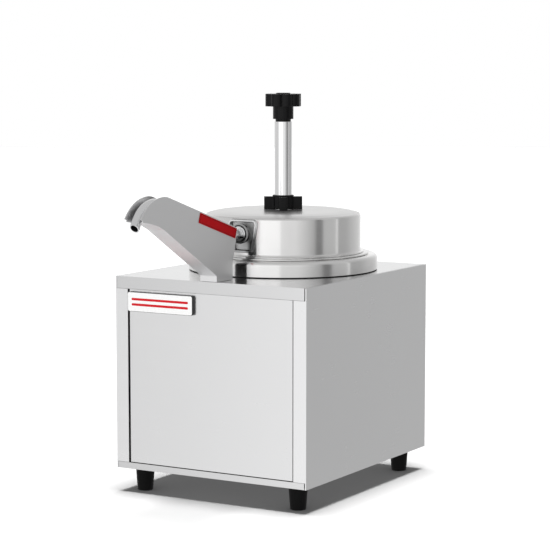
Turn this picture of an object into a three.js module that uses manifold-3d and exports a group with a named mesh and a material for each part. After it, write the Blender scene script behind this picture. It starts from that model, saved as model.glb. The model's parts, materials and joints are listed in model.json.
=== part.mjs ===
// A heated food pump dispenser for a concession stand: a steel cabinet, a heated well with a lift-out pot,
// a deep lid that carries a push pump, and a fixed heated channel that the pump's discharge tube lies in.
// Millimetres, +Z up, the front towards -Y. The origin is on the floor under the object's middle.
import * as THREE from 'three';
import { mergeVertices } from 'three/addons/utils/BufferGeometryUtils.js';
import Module from 'manifold-3d';

const wasm = await Module();
wasm.setup();

// ---- Driving dimensions -------------------------------------------------------------------------
const GAP = 0.2; // air between two pieces that rest on each other
const SHEET = 1.5; // cabinet sheet steel
const ROUND = 36; // facets round the large turned pieces
const SMALL_ROUND = 18; // and round the pump's pieces

const FOOT_HEIGHT = 30;
const FOOT_INSET = 25; // foot centre from both edges of the cabinet
const BODY_WIDTH = 270;
const BODY_DEPTH = 316;
const BODY_HEIGHT = 240;
const SPOUT_REACH = 162; // the channel's tip in front of the cabinet
const REAR_REACH = 22; // the thermostat knob behind the cabinet

const STILE_WIDTH = 17.5; // front returns of the side panels
const FLANGE_DROP = 15; // front edge of the deck, folded down
const RAIL_HEIGHT = 8; // front edge of the base, folded up
const PANEL_GAP_LEFT = 3;
const PANEL_GAP = 1;

const WELL_SETBACK = 178.5; // well centre behind the front face
const WELL_RADIUS = 101.5; // inside
const WELL_DEPTH = 204;
const COLLAR_RADIUS = 120;
const COLLAR_HEIGHT = 20;
const POT_RADIUS = 96.5; // inside
const POT_DEPTH = 190;
const POT_WALL = 1.5;
const BEAD_RADIUS = 108.5; // rolled rim of the pot
const LID_RADIUS = 98.5;
const LID_TOP = 71.5; // lid's shoulder above the deck
const LID_RISE = 4.2; // and its crown above the shoulder
const LID_WALL = 1.5;

const TUBE_RADIUS = 11; // plunger tube
const PUMP_BORE = 14;
const PUMP_OUTER = 16.5;
const STROKE = 85;
const OUTLET_HEIGHT = 52.6; // pump outlet above the deck
const DISCHARGE_RADIUS = 6;
const CHANNEL_WIDTH = 23.3;
const CHANNEL_SCREWS = [14, 28]; // behind the front edge of the deck
const CHANNEL_HOLE = 2.3; // radius of their holes

// ---- Places worked out from them ----------------------------------------------------------------
const FRONT = SPOUT_REACH - (SPOUT_REACH + BODY_DEPTH + REAR_REACH) / 2; // y of the cabinet's front face
const BACK = FRONT + BODY_DEPTH;
const HALF = BODY_WIDTH / 2;
const INNER = HALF - SHEET - GAP; // half width of the sheets that sit between the side panels
const DECK = FOOT_HEIGHT + BODY_HEIGHT; // z of the deck's top
const AXIS_Y = FRONT + WELL_SETBACK; // y of the well, pot, lid and pump
const POT_RIM = DECK + COLLAR_HEIGHT + GAP; // z of the pot rim's underside
const POT_FLOOR = POT_RIM - POT_DEPTH;
const LID_BASE = POT_RIM + 2.4;
const LID_CROWN = DECK + LID_TOP + LID_RISE; // z of the lid's top at its middle
const PUMP_FLOOR = POT_FLOOR + 14;
const PISTON_LOW = PUMP_FLOOR + STROKE + 26; // underside of the piston at rest
const KNOB_BASE = DECK + 187;
const OUTLET_Z = DECK + OUTLET_HEIGHT;

// ---- Materials ----------------------------------------------------------------------------------
const finish = (color, roughness, metalness) =>
  new THREE.MeshStandardMaterial({ color, roughness, metalness });
const BRUSHED = finish(0xc9c8c8, 0.38, 1);
const SPUN = finish(0xd2d1d0, 0.28, 1);
const CHROME = finish(0xe4e4e6, 0.08, 1);
const BLACK_PLASTIC = finish(0x161616, 0.42, 0);
const WHITE_PLASTIC = finish(0xf4f4f2, 0.4, 0);
const RED_LABEL = finish(0xb80f18, 0.5, 0);
const RUBBER = finish(0x1a1a1a, 0.75, 0);
const SILICONE = finish(0xe8e4dc, 0.6, 0);
const BRASS = finish(0xb08d4a, 0.3, 1);
const AMBER = finish(0xd9531e, 0.25, 0);
const RED_PLASTIC = finish(0xa81418, 0.35, 0);

// ---- Shape helpers ------------------------------------------------------------------------------
const root = new THREE.Group();

function add(name, geometry, material, x = 0, y = 0, z = 0) {
  const mesh = new THREE.Mesh(geometry, material);
  mesh.name = name;
  mesh.position.set(x, y, z);
  root.add(mesh);
  return mesh;
}

function closed(geometry) {
  const bare = geometry.clone();
  bare.deleteAttribute('normal');
  bare.deleteAttribute('uv');
  return mergeVertices(bare, 1e-3);
}

function volumeOf(geometry) {
  const p = geometry.attributes.position;
  const corner = [0, 1, 2].map(() => new THREE.Vector3());
  let six = 0;
  for (let i = 0; i < geometry.index.count; i += 3) {
    corner.forEach((v, k) => v.fromBufferAttribute(p, geometry.index.getX(i + k)));
    six += corner[0].dot(corner[1].clone().cross(corner[2]));
  }
  return six / 6;
}

// Merged vertices, and every face turned outwards.
function outward(geometry) {
  const g = closed(geometry);
  if (volumeOf(g) < 0) {
    const a = g.index.array;
    for (let i = 0; i < a.length; i += 3) [a[i + 1], a[i + 2]] = [a[i + 2], a[i + 1]];
  }
  return g;
}

function solid(geometry) {
  const g = outward(geometry);
  return new wasm.Manifold(
    new wasm.Mesh({
      numProp: 3,
      vertProperties: new Float32Array(g.attributes.position.array),
      triVerts: new Uint32Array(g.index.array),
    }),
  );
}

function geometryOf(manifold) {
  const { vertProperties, triVerts } = manifold.getMesh();
  const g = new THREE.BufferGeometry();
  g.setAttribute('position', new THREE.BufferAttribute(vertProperties, 3));
  g.setIndex(new THREE.BufferAttribute(triVerts, 1));
  return g;
}

const cut = (from, ...tools) => geometryOf(tools.reduce((s, t) => s.subtract(solid(t)), solid(from)));
const join = (first, ...more) => geometryOf(more.reduce((s, t) => s.add(solid(t)), solid(first)));

// A box given by its lowest and highest corners.
function block([x0, y0, z0], [x1, y1, z1]) {
  const box = new THREE.BoxGeometry(x1 - x0, y1 - y0, z1 - z0);
  return box.translate((x0 + x1) / 2, (y0 + y1) / 2, (z0 + z1) / 2);
}

// A solid of revolution about Z from [radius, z] points. Points that don't start and end on the axis
// make a ring.
function turned(points, segments) {
  const onAxis = points[0][0] === 0 && points.at(-1)[0] === 0;
  const loop = onAxis ? points : [...points, points[0]];
  const profile = loop.map(([r, z]) => new THREE.Vector2(r, z));
  return outward(new THREE.LatheGeometry(profile, segments).rotateX(Math.PI / 2));
}

const rod = (radius, z0, z1, segments = 16) =>
  turned([[0, z0], [radius, z0], [radius, z1], [0, z1]], segments);
const ring = (inner, outer, z0, z1, segments = 32) =>
  turned([[inner, z0], [outer, z0], [outer, z1], [inner, z1]], segments);

// Points of a round stretch of an outline, from one angle to another in degrees.
function arc(centreR, centreZ, radius, from, to, steps) {
  return Array.from({ length: steps + 1 }, (_, i) => {
    const t = THREE.MathUtils.degToRad(from + ((to - from) * i) / steps);
    return [centreR + radius * Math.cos(t), centreZ + radius * Math.sin(t)];
  });
}

const vectors = (points) => points.map(([x, y]) => new THREE.Vector2(x, y));

// A closed shape from its points, with a hole if one is given.
function outline(points, hole) {
  const shape = new THREE.Shape(vectors(points));
  if (hole) shape.holes.push(new THREE.Path(vectors(hole)));
  return shape;
}

function roundedRect(width, height, radius, segments = 4) {
  const s = new THREE.Shape();
  const [w, h] = [width / 2, height / 2];
  s.moveTo(-w + radius, -h);
  s.lineTo(w - radius, -h).absarc(w - radius, -h + radius, radius, -Math.PI / 2, 0);
  s.lineTo(w, h - radius).absarc(w - radius, h - radius, radius, 0, Math.PI / 2);
  s.lineTo(-w + radius, h).absarc(-w + radius, h - radius, radius, Math.PI / 2, Math.PI);
  s.lineTo(-w, -h + radius).absarc(-w + radius, -h + radius, radius, Math.PI, 1.5 * Math.PI);
  return new THREE.Shape(s.extractPoints(segments).shape);
}

const prism = (shape, depth) => outward(new THREE.ExtrudeGeometry(shape, { depth, bevelEnabled: false }));
const X = new THREE.Vector3(1, 0, 0);
const Y = new THREE.Vector3(0, 1, 0);
const Z = new THREE.Vector3(0, 0, 1);
// A shape drawn in (y, z) and carried along +X.
const alongX = (shape, depth) => prism(shape, depth).applyMatrix4(new THREE.Matrix4().makeBasis(Y, Z, X));
// A shape drawn in (x, z) and carried along -Y.
const alongFront = (shape, depth) =>
  prism(shape, depth).applyMatrix4(new THREE.Matrix4().makeBasis(X, Z, Y.clone().negate()));
// A turned piece whose own +Z points to the back of the cabinet.
const facingBack = (geometry) => geometry.rotateX(-Math.PI / 2);

function circle(radius, segments) {
  return Array.from({ length: segments }, (_, i) => {
    const t = (2 * Math.PI * i) / segments;
    return [radius * Math.cos(t), radius * Math.sin(t)];
  });
}

// A tube or rod of a round section along a curve through the given points.
function along(points, radius, steps, sides, bore = 0) {
  const path = new THREE.CatmullRomCurve3(points.map((p) => new THREE.Vector3(...p)), false, 'centripetal');
  const section = outline(circle(radius, sides), bore ? circle(bore, sides) : null);
  return outward(new THREE.ExtrudeGeometry(section, { steps, bevelEnabled: false, extrudePath: path }));
}

// A lobed outline, as on a hand knob: the radius swings between root and crest once for each lobe.
function lobed(crest, rootRadius, lobes, pointsPerLobe = 6) {
  const count = lobes * pointsPerLobe;
  return outline(
    Array.from({ length: count }, (_, i) => {
      const t = (2 * Math.PI * i) / count;
      const swell = Math.pow(Math.abs(Math.cos((lobes * t) / 2)), 0.7);
      const r = rootRadius + (crest - rootRadius) * swell;
      return [r * Math.cos(t), r * Math.sin(t)];
    }),
  );
}

// ---- Cabinet ------------------------------------------------------------------------------------
const CORNERS = [[-1, -1], [1, -1], [-1, 1], [1, 1]];
const footX = HALF - FOOT_INSET;
const footY = (side) => (side < 0 ? FRONT + FOOT_INSET : BACK - FOOT_INSET);
const RETURN_WIDTH = 15; // back returns of the side panels
const RETURN_Y = BACK - SHEET - GAP; // the returns stand this far back, and the back panel closes over them
const FLANGE_FOOT = DECK - FLANGE_DROP;
const RAIL_TOP = FOOT_HEIGHT + RAIL_HEIGHT;
const SCREW_HEIGHTS = [FOOT_HEIGHT + 16, DECK - 16];
const screwX = HALF - 8.5;

// One side panel: a flat side with a front stile and a back return, notched for the deck and the base.
function sidePanel(side) {
  const section = [
    [HALF, FRONT], [HALF, BACK], [HALF - SHEET, BACK], [HALF - SHEET, RETURN_Y],
    [HALF - RETURN_WIDTH, RETURN_Y], [HALF - RETURN_WIDTH, RETURN_Y - SHEET],
    [HALF - SHEET, RETURN_Y - SHEET], [HALF - SHEET, FRONT + SHEET],
    [HALF - STILE_WIDTH, FRONT + SHEET], [HALF - STILE_WIDTH, FRONT],
  ];
  const inside = HALF - SHEET;
  const away = 40; // notch tools reach this far past the returns
  const notches = [
    block([away, FRONT - 1, DECK - SHEET - GAP], [inside, BACK + 1, DECK + 1]),
    block([away, FRONT - 1, FOOT_HEIGHT - 1], [inside, BACK + 1, FOOT_HEIGHT + SHEET + GAP]),
    block([away, FRONT - 1, FLANGE_FOOT - GAP], [inside, FRONT + SHEET + 1, DECK + 1]),
    block([away, FRONT - 1, FOOT_HEIGHT - 1], [inside, FRONT + SHEET + 1, RAIL_TOP + GAP]),
  ];
  const holes = SCREW_HEIGHTS.map((z) =>
    facingBack(rod(2.1, -10, 10, 12)).translate(screwX, RETURN_Y, z));
  const full = prism(outline(section), BODY_HEIGHT).translate(0, 0, FOOT_HEIGHT);
  return outward(cut(full, ...notches, ...holes).scale(side, 1, 1));
}
add('left_side_panel', sidePanel(-1), BRUSHED);
add('right_side_panel', sidePanel(1), BRUSHED);

// The base: a flat tray with its front edge turned up into a rail, and four holes for the foot screws.
function basePlate() {
  const section = outline([
    [FRONT, FOOT_HEIGHT], [BACK, FOOT_HEIGHT], [BACK, FOOT_HEIGHT + SHEET],
    [FRONT + SHEET, FOOT_HEIGHT + SHEET], [FRONT + SHEET, RAIL_TOP], [FRONT, RAIL_TOP],
  ]);
  const hole = rod(3, FOOT_HEIGHT - 5, FOOT_HEIGHT + 5, 12);
  const holes = CORNERS.map(([i, j]) => hole.clone().translate(i * footX, footY(j), 0));
  return cut(alongX(section, 2 * INNER).translate(-INNER, 0, 0), ...holes);
}
add('base_plate', basePlate(), BRUSHED);

// The deck: its front edge folds down in front, and the well hangs in its round hole.
const DECK_HOLE = WELL_RADIUS + SHEET + 1.5;
function topDeck() {
  const section = outline([
    [FRONT, FLANGE_FOOT], [FRONT + SHEET, FLANGE_FOOT], [FRONT + SHEET, DECK - SHEET], [BACK, DECK - SHEET],
    [BACK, DECK], [FRONT, DECK],
  ]);
  const wellHole = rod(DECK_HOLE, DECK - 5, DECK + 5, ROUND).translate(0, AXIS_Y, 0);
  const screwHole = rod(CHANNEL_HOLE, DECK - 5, DECK + 5, 12);
  const screwHoles = CHANNEL_SCREWS.map((y) => screwHole.clone().translate(0, FRONT + y, 0));
  return cut(alongX(section, 2 * INNER).translate(-INNER, 0, 0), wellHole, ...screwHoles);
}
add('top_deck', topDeck(), BRUSHED);

// The front panel: a flat face with its two upright edges folded inwards.
const PANEL_LEFT = -HALF + STILE_WIDTH + PANEL_GAP_LEFT;
const PANEL_RIGHT = HALF - STILE_WIDTH - PANEL_GAP;
const PANEL_TOP = FLANGE_FOOT - PANEL_GAP;
function frontPanel() {
  const fold = 14;
  const [l, r, f] = [PANEL_LEFT, PANEL_RIGHT, FRONT];
  const section = outline([
    [l, f], [r, f], [r, f + fold], [r - SHEET, f + fold], [r - SHEET, f + SHEET], [l + SHEET, f + SHEET],
    [l + SHEET, f + fold], [l, f + fold],
  ]);
  const bottom = RAIL_TOP + PANEL_GAP;
  return prism(section, PANEL_TOP - bottom).translate(0, 0, bottom);
}
add('front_panel', frontPanel(), BRUSHED);

const PLATE_WIDTH = 94;
const PLATE_HEIGHT = 24;
const PLATE_DEPTH = 4.5;
const PLATE_DROP = 18; // top of the nameplate below the deck
add(
  'nameplate', alongFront(roundedRect(PLATE_WIDTH, PLATE_HEIGHT, 2.5), PLATE_DEPTH), WHITE_PLASTIC,
  PANEL_LEFT + PLATE_WIDTH / 2, FRONT - GAP, DECK - PLATE_DROP - PLATE_HEIGHT / 2,
);

// ---- Feet ---------------------------------------------------------------------------------------
const FOOT_TOP_RADIUS = 12;
const FOOT_TIP_RADIUS = 9.75;
const SCREW_SEAT = 10; // depth of the screw's counterbore, from below
const footProfile = [
  [5.5, 0], [FOOT_TIP_RADIUS, 0], [FOOT_TOP_RADIUS, FOOT_HEIGHT - GAP], [2.8, FOOT_HEIGHT - GAP],
  [2.8, SCREW_SEAT], [5.5, SCREW_SEAT],
];
const footScrewProfile = [
  [0, SCREW_SEAT - 4], [4.6, SCREW_SEAT - 4], [4.6, SCREW_SEAT - GAP], [2.4, SCREW_SEAT - GAP],
  [2.4, FOOT_HEIGHT + 8], [0, FOOT_HEIGHT + 8],
];
CORNERS.forEach(([i, j], k) => {
  add(`foot_${k + 1}`, turned(footProfile, 16), RUBBER, i * footX, footY(j));
  add(`foot_screw_${k + 1}`, turned(footScrewProfile, 8), CHROME, i * footX, footY(j));
});

// ---- Heated well --------------------------------------------------------------------------------
const WELL_FLOOR = DECK - WELL_DEPTH;
const WELL_LIP = 113; // the well's flange, hidden under the collar
add(
  'heating_well',
  turned(
    [
      [0, WELL_FLOOR], [WELL_RADIUS - 7, WELL_FLOOR], [WELL_RADIUS + SHEET, WELL_FLOOR + 7],
      [WELL_RADIUS + SHEET, DECK + GAP], [WELL_LIP, DECK + GAP], [WELL_LIP, DECK + GAP + 1.2],
      [WELL_RADIUS, DECK + GAP + 1.2], [WELL_RADIUS, WELL_FLOOR + 8],
      [WELL_RADIUS - 7.5, WELL_FLOOR + SHEET], [0, WELL_FLOOR + SHEET],
    ],
    ROUND,
  ),
  BRUSHED, 0, AXIS_Y,
);

// The collar is one spun ring over the well's flange: an upright wall, a round shoulder and a flat ledge.
const COLLAR_LEDGE = 105; // inner radius of the ledge that the pot's rim rests on
function collarShell() {
  const shoulder = 5;
  const top = DECK + COLLAR_HEIGHT;
  const outer = arc(COLLAR_RADIUS - shoulder, top - shoulder, shoulder, 0, 90, 3);
  const inner = arc(COLLAR_RADIUS - shoulder, top - shoulder, shoulder - SHEET, 90, 0, 2);
  return turned(
    [
      [COLLAR_RADIUS, DECK + GAP], ...outer, [COLLAR_LEDGE, top], [COLLAR_LEDGE, top - SHEET],
      ...inner, [COLLAR_RADIUS - SHEET, DECK + GAP],
    ],
    ROUND,
  );
}
add('well_collar', collarShell(), SPUN, 0, AXIS_Y);

// The element is one loop under the well with both cold ends turned down, held up by a bar and one bolt.
const ELEMENT_RADIUS = 62;
const ELEMENT_Z = WELL_FLOOR - 5.2;
function heatingElement() {
  const loop = Array.from({ length: 25 }, (_, i) => {
    const t = THREE.MathUtils.degToRad(100 + (340 * i) / 24);
    return [ELEMENT_RADIUS * Math.cos(t), ELEMENT_RADIUS * Math.sin(t), 0];
  });
  const down = ([x, y]) => [[x, y + 7, -5], [x, y + 9, -16]];
  return along([...down(loop[0]).reverse(), ...loop, ...down(loop.at(-1))], 4, 34, 8);
}
add('heating_element', heatingElement(), BRUSHED, 0, AXIS_Y, ELEMENT_Z);
const BAR_TOP = ELEMENT_Z - 4 - GAP;
add(
  'element_clamp_bar',
  cut(block([-74, -12, BAR_TOP - 2], [74, 12, BAR_TOP]), rod(3.4, BAR_TOP - 9, BAR_TOP + 9, 12)),
  BRUSHED, 0, AXIS_Y,
);
function clampBolt() {
  const seat = BAR_TOP - 2 - GAP;
  const head = prism(outline(circle(6.2, 6)), 4).translate(0, 0, seat - 4);
  return join(head, rod(3, seat - 2, WELL_FLOOR - GAP, 12));
}
add('clamp_bolt', clampBolt(), CHROME, 0, AXIS_Y);

// Under the well's floor: the thermostat's bulb, lying flat, and a round safety cut-out.
const BULB_Y = AXIS_Y + 30;
const BULB_Z = WELL_FLOOR - 3.4;
const BULB_END = 34;
add('thermostat_bulb', rod(3, -BULB_END, BULB_END, 10).rotateY(Math.PI / 2), BRASS, 0, BULB_Y, BULB_Z);
add('high_limit_cutout', rod(8, WELL_FLOOR - 9, WELL_FLOOR - GAP, 20), BLACK_PLASTIC, -30, AXIS_Y - 35);

// ---- Back panel and its controls ----------------------------------------------------------------
const KNOB_X = 72;
const CONTROL_Z = FOOT_HEIGHT + 165;
const SWITCH_X = 8;
const LAMP_X = -38;
const INLET_X = -88;
const INLET_Z = FOOT_HEIGHT + 40;
const SLOT_X = 62; // vent slots: their middle, size, rows and pitch, and the lowest one's height
const SLOT_WIDTH = 46;
const SLOT_HEIGHT = 4;
const SLOT_ROWS = 5;
const SLOT_PITCH = 11;
const SLOT_Z = FOOT_HEIGHT + 30;

function backPanel() {
  const low = FOOT_HEIGHT + SHEET + GAP;
  const sheet = block([-INNER, BACK - SHEET, low], [INNER, BACK, DECK - SHEET - GAP]);
  const through = (radius, x, z) => facingBack(rod(radius, -10, 10, 20)).translate(x, BACK, z);
  const window = (width, height, x, z) =>
    new THREE.BoxGeometry(width, 18, height).translate(x, BACK, z);
  const slots = Array.from({ length: SLOT_ROWS }, (_, i) =>
    window(SLOT_WIDTH, SLOT_HEIGHT, SLOT_X, SLOT_Z + i * SLOT_PITCH));
  const screws = [-1, 1].flatMap((side) => SCREW_HEIGHTS.map((z) => through(2.1, side * screwX, z)));
  return cut(
    sheet, ...slots, ...screws, through(5, KNOB_X, CONTROL_Z), through(5.4, LAMP_X, CONTROL_Z),
    window(19.2, 13.2, SWITCH_X, CONTROL_Z), window(27.6, 20.2, INLET_X, INLET_Z),
  );
}
add('back_panel', backPanel(), BRUSHED);

const panelScrewProfile = [[0, -8], [1.8, -8], [1.8, GAP], [3.9, GAP], [3.4, 1.9], [0, 2.4]];
[['left', -1], ['right', 1]].forEach(([name, side]) =>
  SCREW_HEIGHTS.forEach((z, k) => {
    const screw = facingBack(turned(panelScrewProfile, 10));
    add(`panel_screw_${name}_${k + 1}`, screw, CHROME, side * screwX, BACK, z);
  }));

// The thermostat: a box behind the panel whose shaft comes through it, a dial ring and a knob on the shaft.
const BEHIND = -SHEET - GAP; // y of what touches the panel's inner face, from its outer face
add(
  'thermostat_body',
  join(block([-20, BEHIND - 30, -22], [20, BEHIND, 22]), facingBack(rod(3, -10, 16, 12))),
  BLACK_PLASTIC, KNOB_X, BACK, CONTROL_Z,
);
add('thermostat_dial', facingBack(ring(6, 25, GAP, GAP + 1, 30)), WHITE_PLASTIC, KNOB_X, BACK, CONTROL_Z);

function thermostatKnob() {
  const base = 1.6;
  const socket = REAR_REACH - 3.5; // depth that the shaft reaches into the knob
  const profile = [
    [0, socket], [3.3, socket], [3.3, base], [19, base], [19, base + 3], [15.5, base + 4.5],
    [14.5, REAR_REACH - 1.2], [13, REAR_REACH], [0, REAR_REACH],
  ];
  return facingBack(turned(profile, SMALL_ROUND));
}
add('thermostat_knob', thermostatKnob(), BLACK_PLASTIC, KNOB_X, BACK, CONTROL_Z);

const capillaryTop = [KNOB_X, BACK + BEHIND - 18, CONTROL_Z - 22 - GAP];
add(
  'capillary_tube',
  along(
    [
      [BULB_END + 3 * GAP, BULB_Y, BULB_Z], [BULB_END + 8, BULB_Y, BULB_Z - 3],
      [BULB_END + 22, BULB_Y + 6, 50], [KNOB_X, BULB_Y + 30, 48], [KNOB_X, BACK - 34, 62],
      [KNOB_X, BACK - 24, 100], [KNOB_X, capillaryTop[1], 140], capillaryTop,
    ],
    0.9, 24, 5,
  ),
  BRASS,
);

// The power switch: a snapped-in frame with a rocker that tips on a pin through its middle.
const ROCKER_TILT = 10; // degrees either way
function switchFrame() {
  const flange = block([-10.5, GAP, -8.5], [10.5, 2.2, 8.5]);
  const body = block([-9.3, -17, -6.3], [9.3, 1.5, 6.3]);
  return cut(join(flange, body), block([-8, -5.5, -5.6], [8, 5, 5.6]));
}
add('switch_frame', switchFrame(), BLACK_PLASTIC, SWITCH_X, BACK, CONTROL_Z);
const rockerSection = outline([[-3, -4.2], [3, -4.8], [2, 0], [3, 4.8], [-3, 4.2]]);
const ROCKER_PIVOT = BACK - 0.5;
add(
  'power_rocker',
  alongX(rockerSection, 15.4).translate(-7.7, 0, 0).rotateX(THREE.MathUtils.degToRad(-ROCKER_TILT)),
  RED_PLASTIC, SWITCH_X, ROCKER_PIVOT, CONTROL_Z,
);

const lampProfile = [
  [0, -14], [5, -14], [5, GAP], [7.5, GAP], [7.5, 1.6], [5.5, 2.2], [4.4, 4.6], [0, 5.6],
];
add('indicator_lamp', facingBack(turned(lampProfile, 20)), AMBER, LAMP_X, BACK, CONTROL_Z);

// The power inlet: a flanged socket with three flat pins standing in its recess.
function powerInlet() {
  const flange = block([-16, GAP, -12.5], [16, 2.4, 12.5]);
  const shell = join(flange, block([-13.5, -24, -9.8], [13.5, 1.5, 9.8]));
  const recess = block([-12, -14, -8.2], [12, 5, 8.2]);
  const pin = block([-1, -15, -2], [1, -3, 2]);
  const pins = [[-7, -1.5], [0, 2], [7, -1.5]].map(([x, z]) => pin.clone().translate(x, 0, z));
  return join(cut(shell, recess), ...pins);
}
add('power_inlet', powerInlet(), BLACK_PLASTIC, INLET_X, BACK, INLET_Z);

function terminalBlock() {
  const low = FOOT_HEIGHT + SHEET + GAP;
  const holes = [-12, 0, 12].map((x) => block([x - 2.2, -10, low + 5], [x + 2.2, 10, low + 9]));
  return cut(block([-20, -8, low], [20, 8, low + 14]), ...holes);
}
add('terminal_block', terminalBlock(), WHITE_PLASTIC, -60, BACK - 62);

// ---- Heated channel for the discharge tube ------------------------------------------------------
// Its sides are drawn in (y, z) from the front edge of the deck.
const CHANNEL_END = -143; // the folded bottom stops here, and the side plates run on to the tip
const channelBottom = [[0, 8], [-45.6, 33.4], [-112.8, 71.4], [-126, 77], [-140.5, 80.6]];
const channelInside = [[SHEET, 8.9], [-44.9, 34.7], [-112, 72.7], [-125.4, 78.4], [-140.1, 82.1]];

function spoutChannel() {
  const side = new THREE.Shape();
  side.moveTo(36.7, GAP);
  side.lineTo(0, GAP);
  channelBottom.forEach(([y, z]) => side.lineTo(y, z));
  side.lineTo(-SPOUT_REACH, 83.8);
  side.bezierCurveTo(-154, 96, -138, 109.8, -112, 109.8);
  side.bezierCurveTo(-107, 109.8, -103, 108.4, -98, 106.9);
  side.lineTo(47.3, 62.4);
  side.bezierCurveTo(45, 51, 44, 39, 36.7, 22.6);
  const cavity = outline([
    [60, GAP + SHEET], [SHEET, GAP + SHEET], ...channelInside, [CHANNEL_END, 82.8], [CHANNEL_END, 60],
    [-180, 60], [-180, 130], [60, 130],
  ]);
  const outer = alongX(new THREE.Shape(side.extractPoints(6).shape), CHANNEL_WIDTH);
  const inner = alongX(cavity, CHANNEL_WIDTH - 2 * SHEET).translate(SHEET, 0, 0);
  const hole = rod(CHANNEL_HOLE, -2, 4, 12).translate(CHANNEL_WIDTH / 2, 0, 0);
  return cut(outer, inner, ...CHANNEL_SCREWS.map((y) => hole.clone().translate(0, y, 0)));
}
add('spout_channel', spoutChannel(), BRUSHED, -CHANNEL_WIDTH / 2, FRONT, DECK);

CHANNEL_SCREWS.forEach((y, k) => {
  const head = GAP + SHEET + GAP;
  const profile = [[0, -9], [2, -9], [2, head], [3.8, head], [3.2, head + 2], [0, head + 2.4]];
  add(`channel_screw_${k + 1}`, turned(profile, 10), CHROME, 0, FRONT + y, DECK);
});

// A flat heater lies on the sloping floor of the channel, under the tube.
function spoutHeater() {
  const [a, b] = [channelInside[1], channelInside[2]].map((p) => new THREE.Vector2(...p));
  const run = b.clone().sub(a);
  const up = new THREE.Vector2(-run.y, run.x).normalize().negate();
  const corner = (share, lift) => a.clone().addScaledVector(run, share).addScaledVector(up, lift).toArray();
  const section = outline([corner(0.05, 0.3), corner(0.95, 0.3), corner(0.95, 2.8), corner(0.05, 2.8)]);
  return alongX(section, 16).translate(-8, 0, 0);
}
add('spout_heater', spoutHeater(), SILICONE, 0, FRONT, DECK);

const LABEL_THICKNESS = 0.4;
const labelOutline = outline([[-36, 86.4], [46, 61.4], [42.2, 49.6], [-39.8, 74.6]]);
add('hot_label', alongX(labelOutline, LABEL_THICKNESS), RED_LABEL, CHANNEL_WIDTH / 2 + GAP, FRONT, DECK);

// ---- Pot ----------------------------------------------------------------------------------------
function foodPot() {
  const outside = POT_RADIUS + POT_WALL;
  const round = 10;
  const bead = 1.1; // radius of the rolled edge
  const beadZ = POT_RIM + bead;
  return turned(
    [
      [0, POT_FLOOR], ...arc(outside - round, POT_FLOOR + round, round, -90, 0, 3),
      [outside, POT_RIM], ...arc(BEAD_RADIUS - bead, beadZ, bead, -90, 90, 3),
      [outside + 1, POT_RIM + 2 * bead], [POT_RADIUS, POT_RIM],
      ...arc(outside - round, POT_FLOOR + round, round - POT_WALL, 0, -90, 2), [0, POT_FLOOR + POT_WALL],
    ],
    ROUND,
  );
}
add('food_pot', foodPot(), SPUN, 0, AXIS_Y);

// ---- Lid ----------------------------------------------------------------------------------------
const LID_HOLE = 12.9; // for the pump's threaded neck
const LID_FLANGE = LID_RADIUS + 4;
const FRAME_BORDER = 3;
const FRAME_FRONT = -LID_RADIUS - 3; // the outlet frame stands this far forward of the axis
const FRAME_DEPTH = 8;

// The window in the lid's front wall narrows downwards and is drawn from the union's middle. The frame
// and the block in it keep the same outline, inset from the window's.
function windowOutline(inset) {
  const round = 6;
  const [wide, narrow] = [14, 9]; // the middles of its upper and lower corners
  const [top, foot] = [10.8, -18];
  const lean = THREE.MathUtils.radToDeg(Math.atan2(wide - narrow, top - foot));
  return [
    ...arc(narrow, foot, round - inset, -90, -lean, 3), ...arc(wide, top, round - inset, -lean, 90, 4),
    ...arc(-wide, top, round - inset, 90, 180 + lean, 4),
    ...arc(-narrow, foot, round - inset, 180 + lean, 270, 3),
  ];
}

function pumpLid() {
  const shoulder = 3.4;
  const z = DECK + LID_TOP;
  const dome = [[LID_RADIUS - 10.5, z + 1.9], [LID_RADIUS - 21.5, z + 3.5], [LID_RADIUS - 38.5, z + 3.9]];
  const underDome = dome.map(([r, height]) => [r, height - LID_WALL]).reverse();
  const shell = turned(
    [
      [LID_FLANGE, LID_BASE], [LID_FLANGE, LID_BASE + 1.2], [LID_RADIUS + 1, LID_BASE + 1.6],
      [LID_RADIUS, LID_BASE + 3.5], ...arc(LID_RADIUS - shoulder, z - shoulder, shoulder, 0, 76, 3),
      ...dome, [LID_HOLE, LID_CROWN], [LID_HOLE, LID_CROWN - LID_WALL], ...underDome,
      ...arc(LID_RADIUS - shoulder, z - shoulder, shoulder - LID_WALL, 76, 0, 2),
      [LID_RADIUS - LID_WALL, LID_BASE],
    ],
    ROUND,
  );
  const tool = alongFront(outline(windowOutline(-0.3)), 60);
  return cut(shell, tool.translate(0, -60, OUTLET_Z));
}
add('pump_lid', pumpLid(), SPUN, 0, AXIS_Y);
const gasket = ring(POT_RADIUS - 4, POT_RADIUS - 0.4, LID_BASE - 6, LID_BASE - GAP - 0.8, ROUND);
add('lid_gasket', gasket, SILICONE, 0, AXIS_Y);

// The outlet comes through the window: a raised frame round it, and the pump's elbow block inside that.
function outletFrame() {
  const shape = outline(windowOutline(0), windowOutline(FRAME_BORDER));
  return alongFront(shape, FRAME_DEPTH).translate(0, FRAME_FRONT + FRAME_DEPTH, OUTLET_Z);
}
add('outlet_frame', outletFrame(), SPUN, 0, AXIS_Y);

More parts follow.
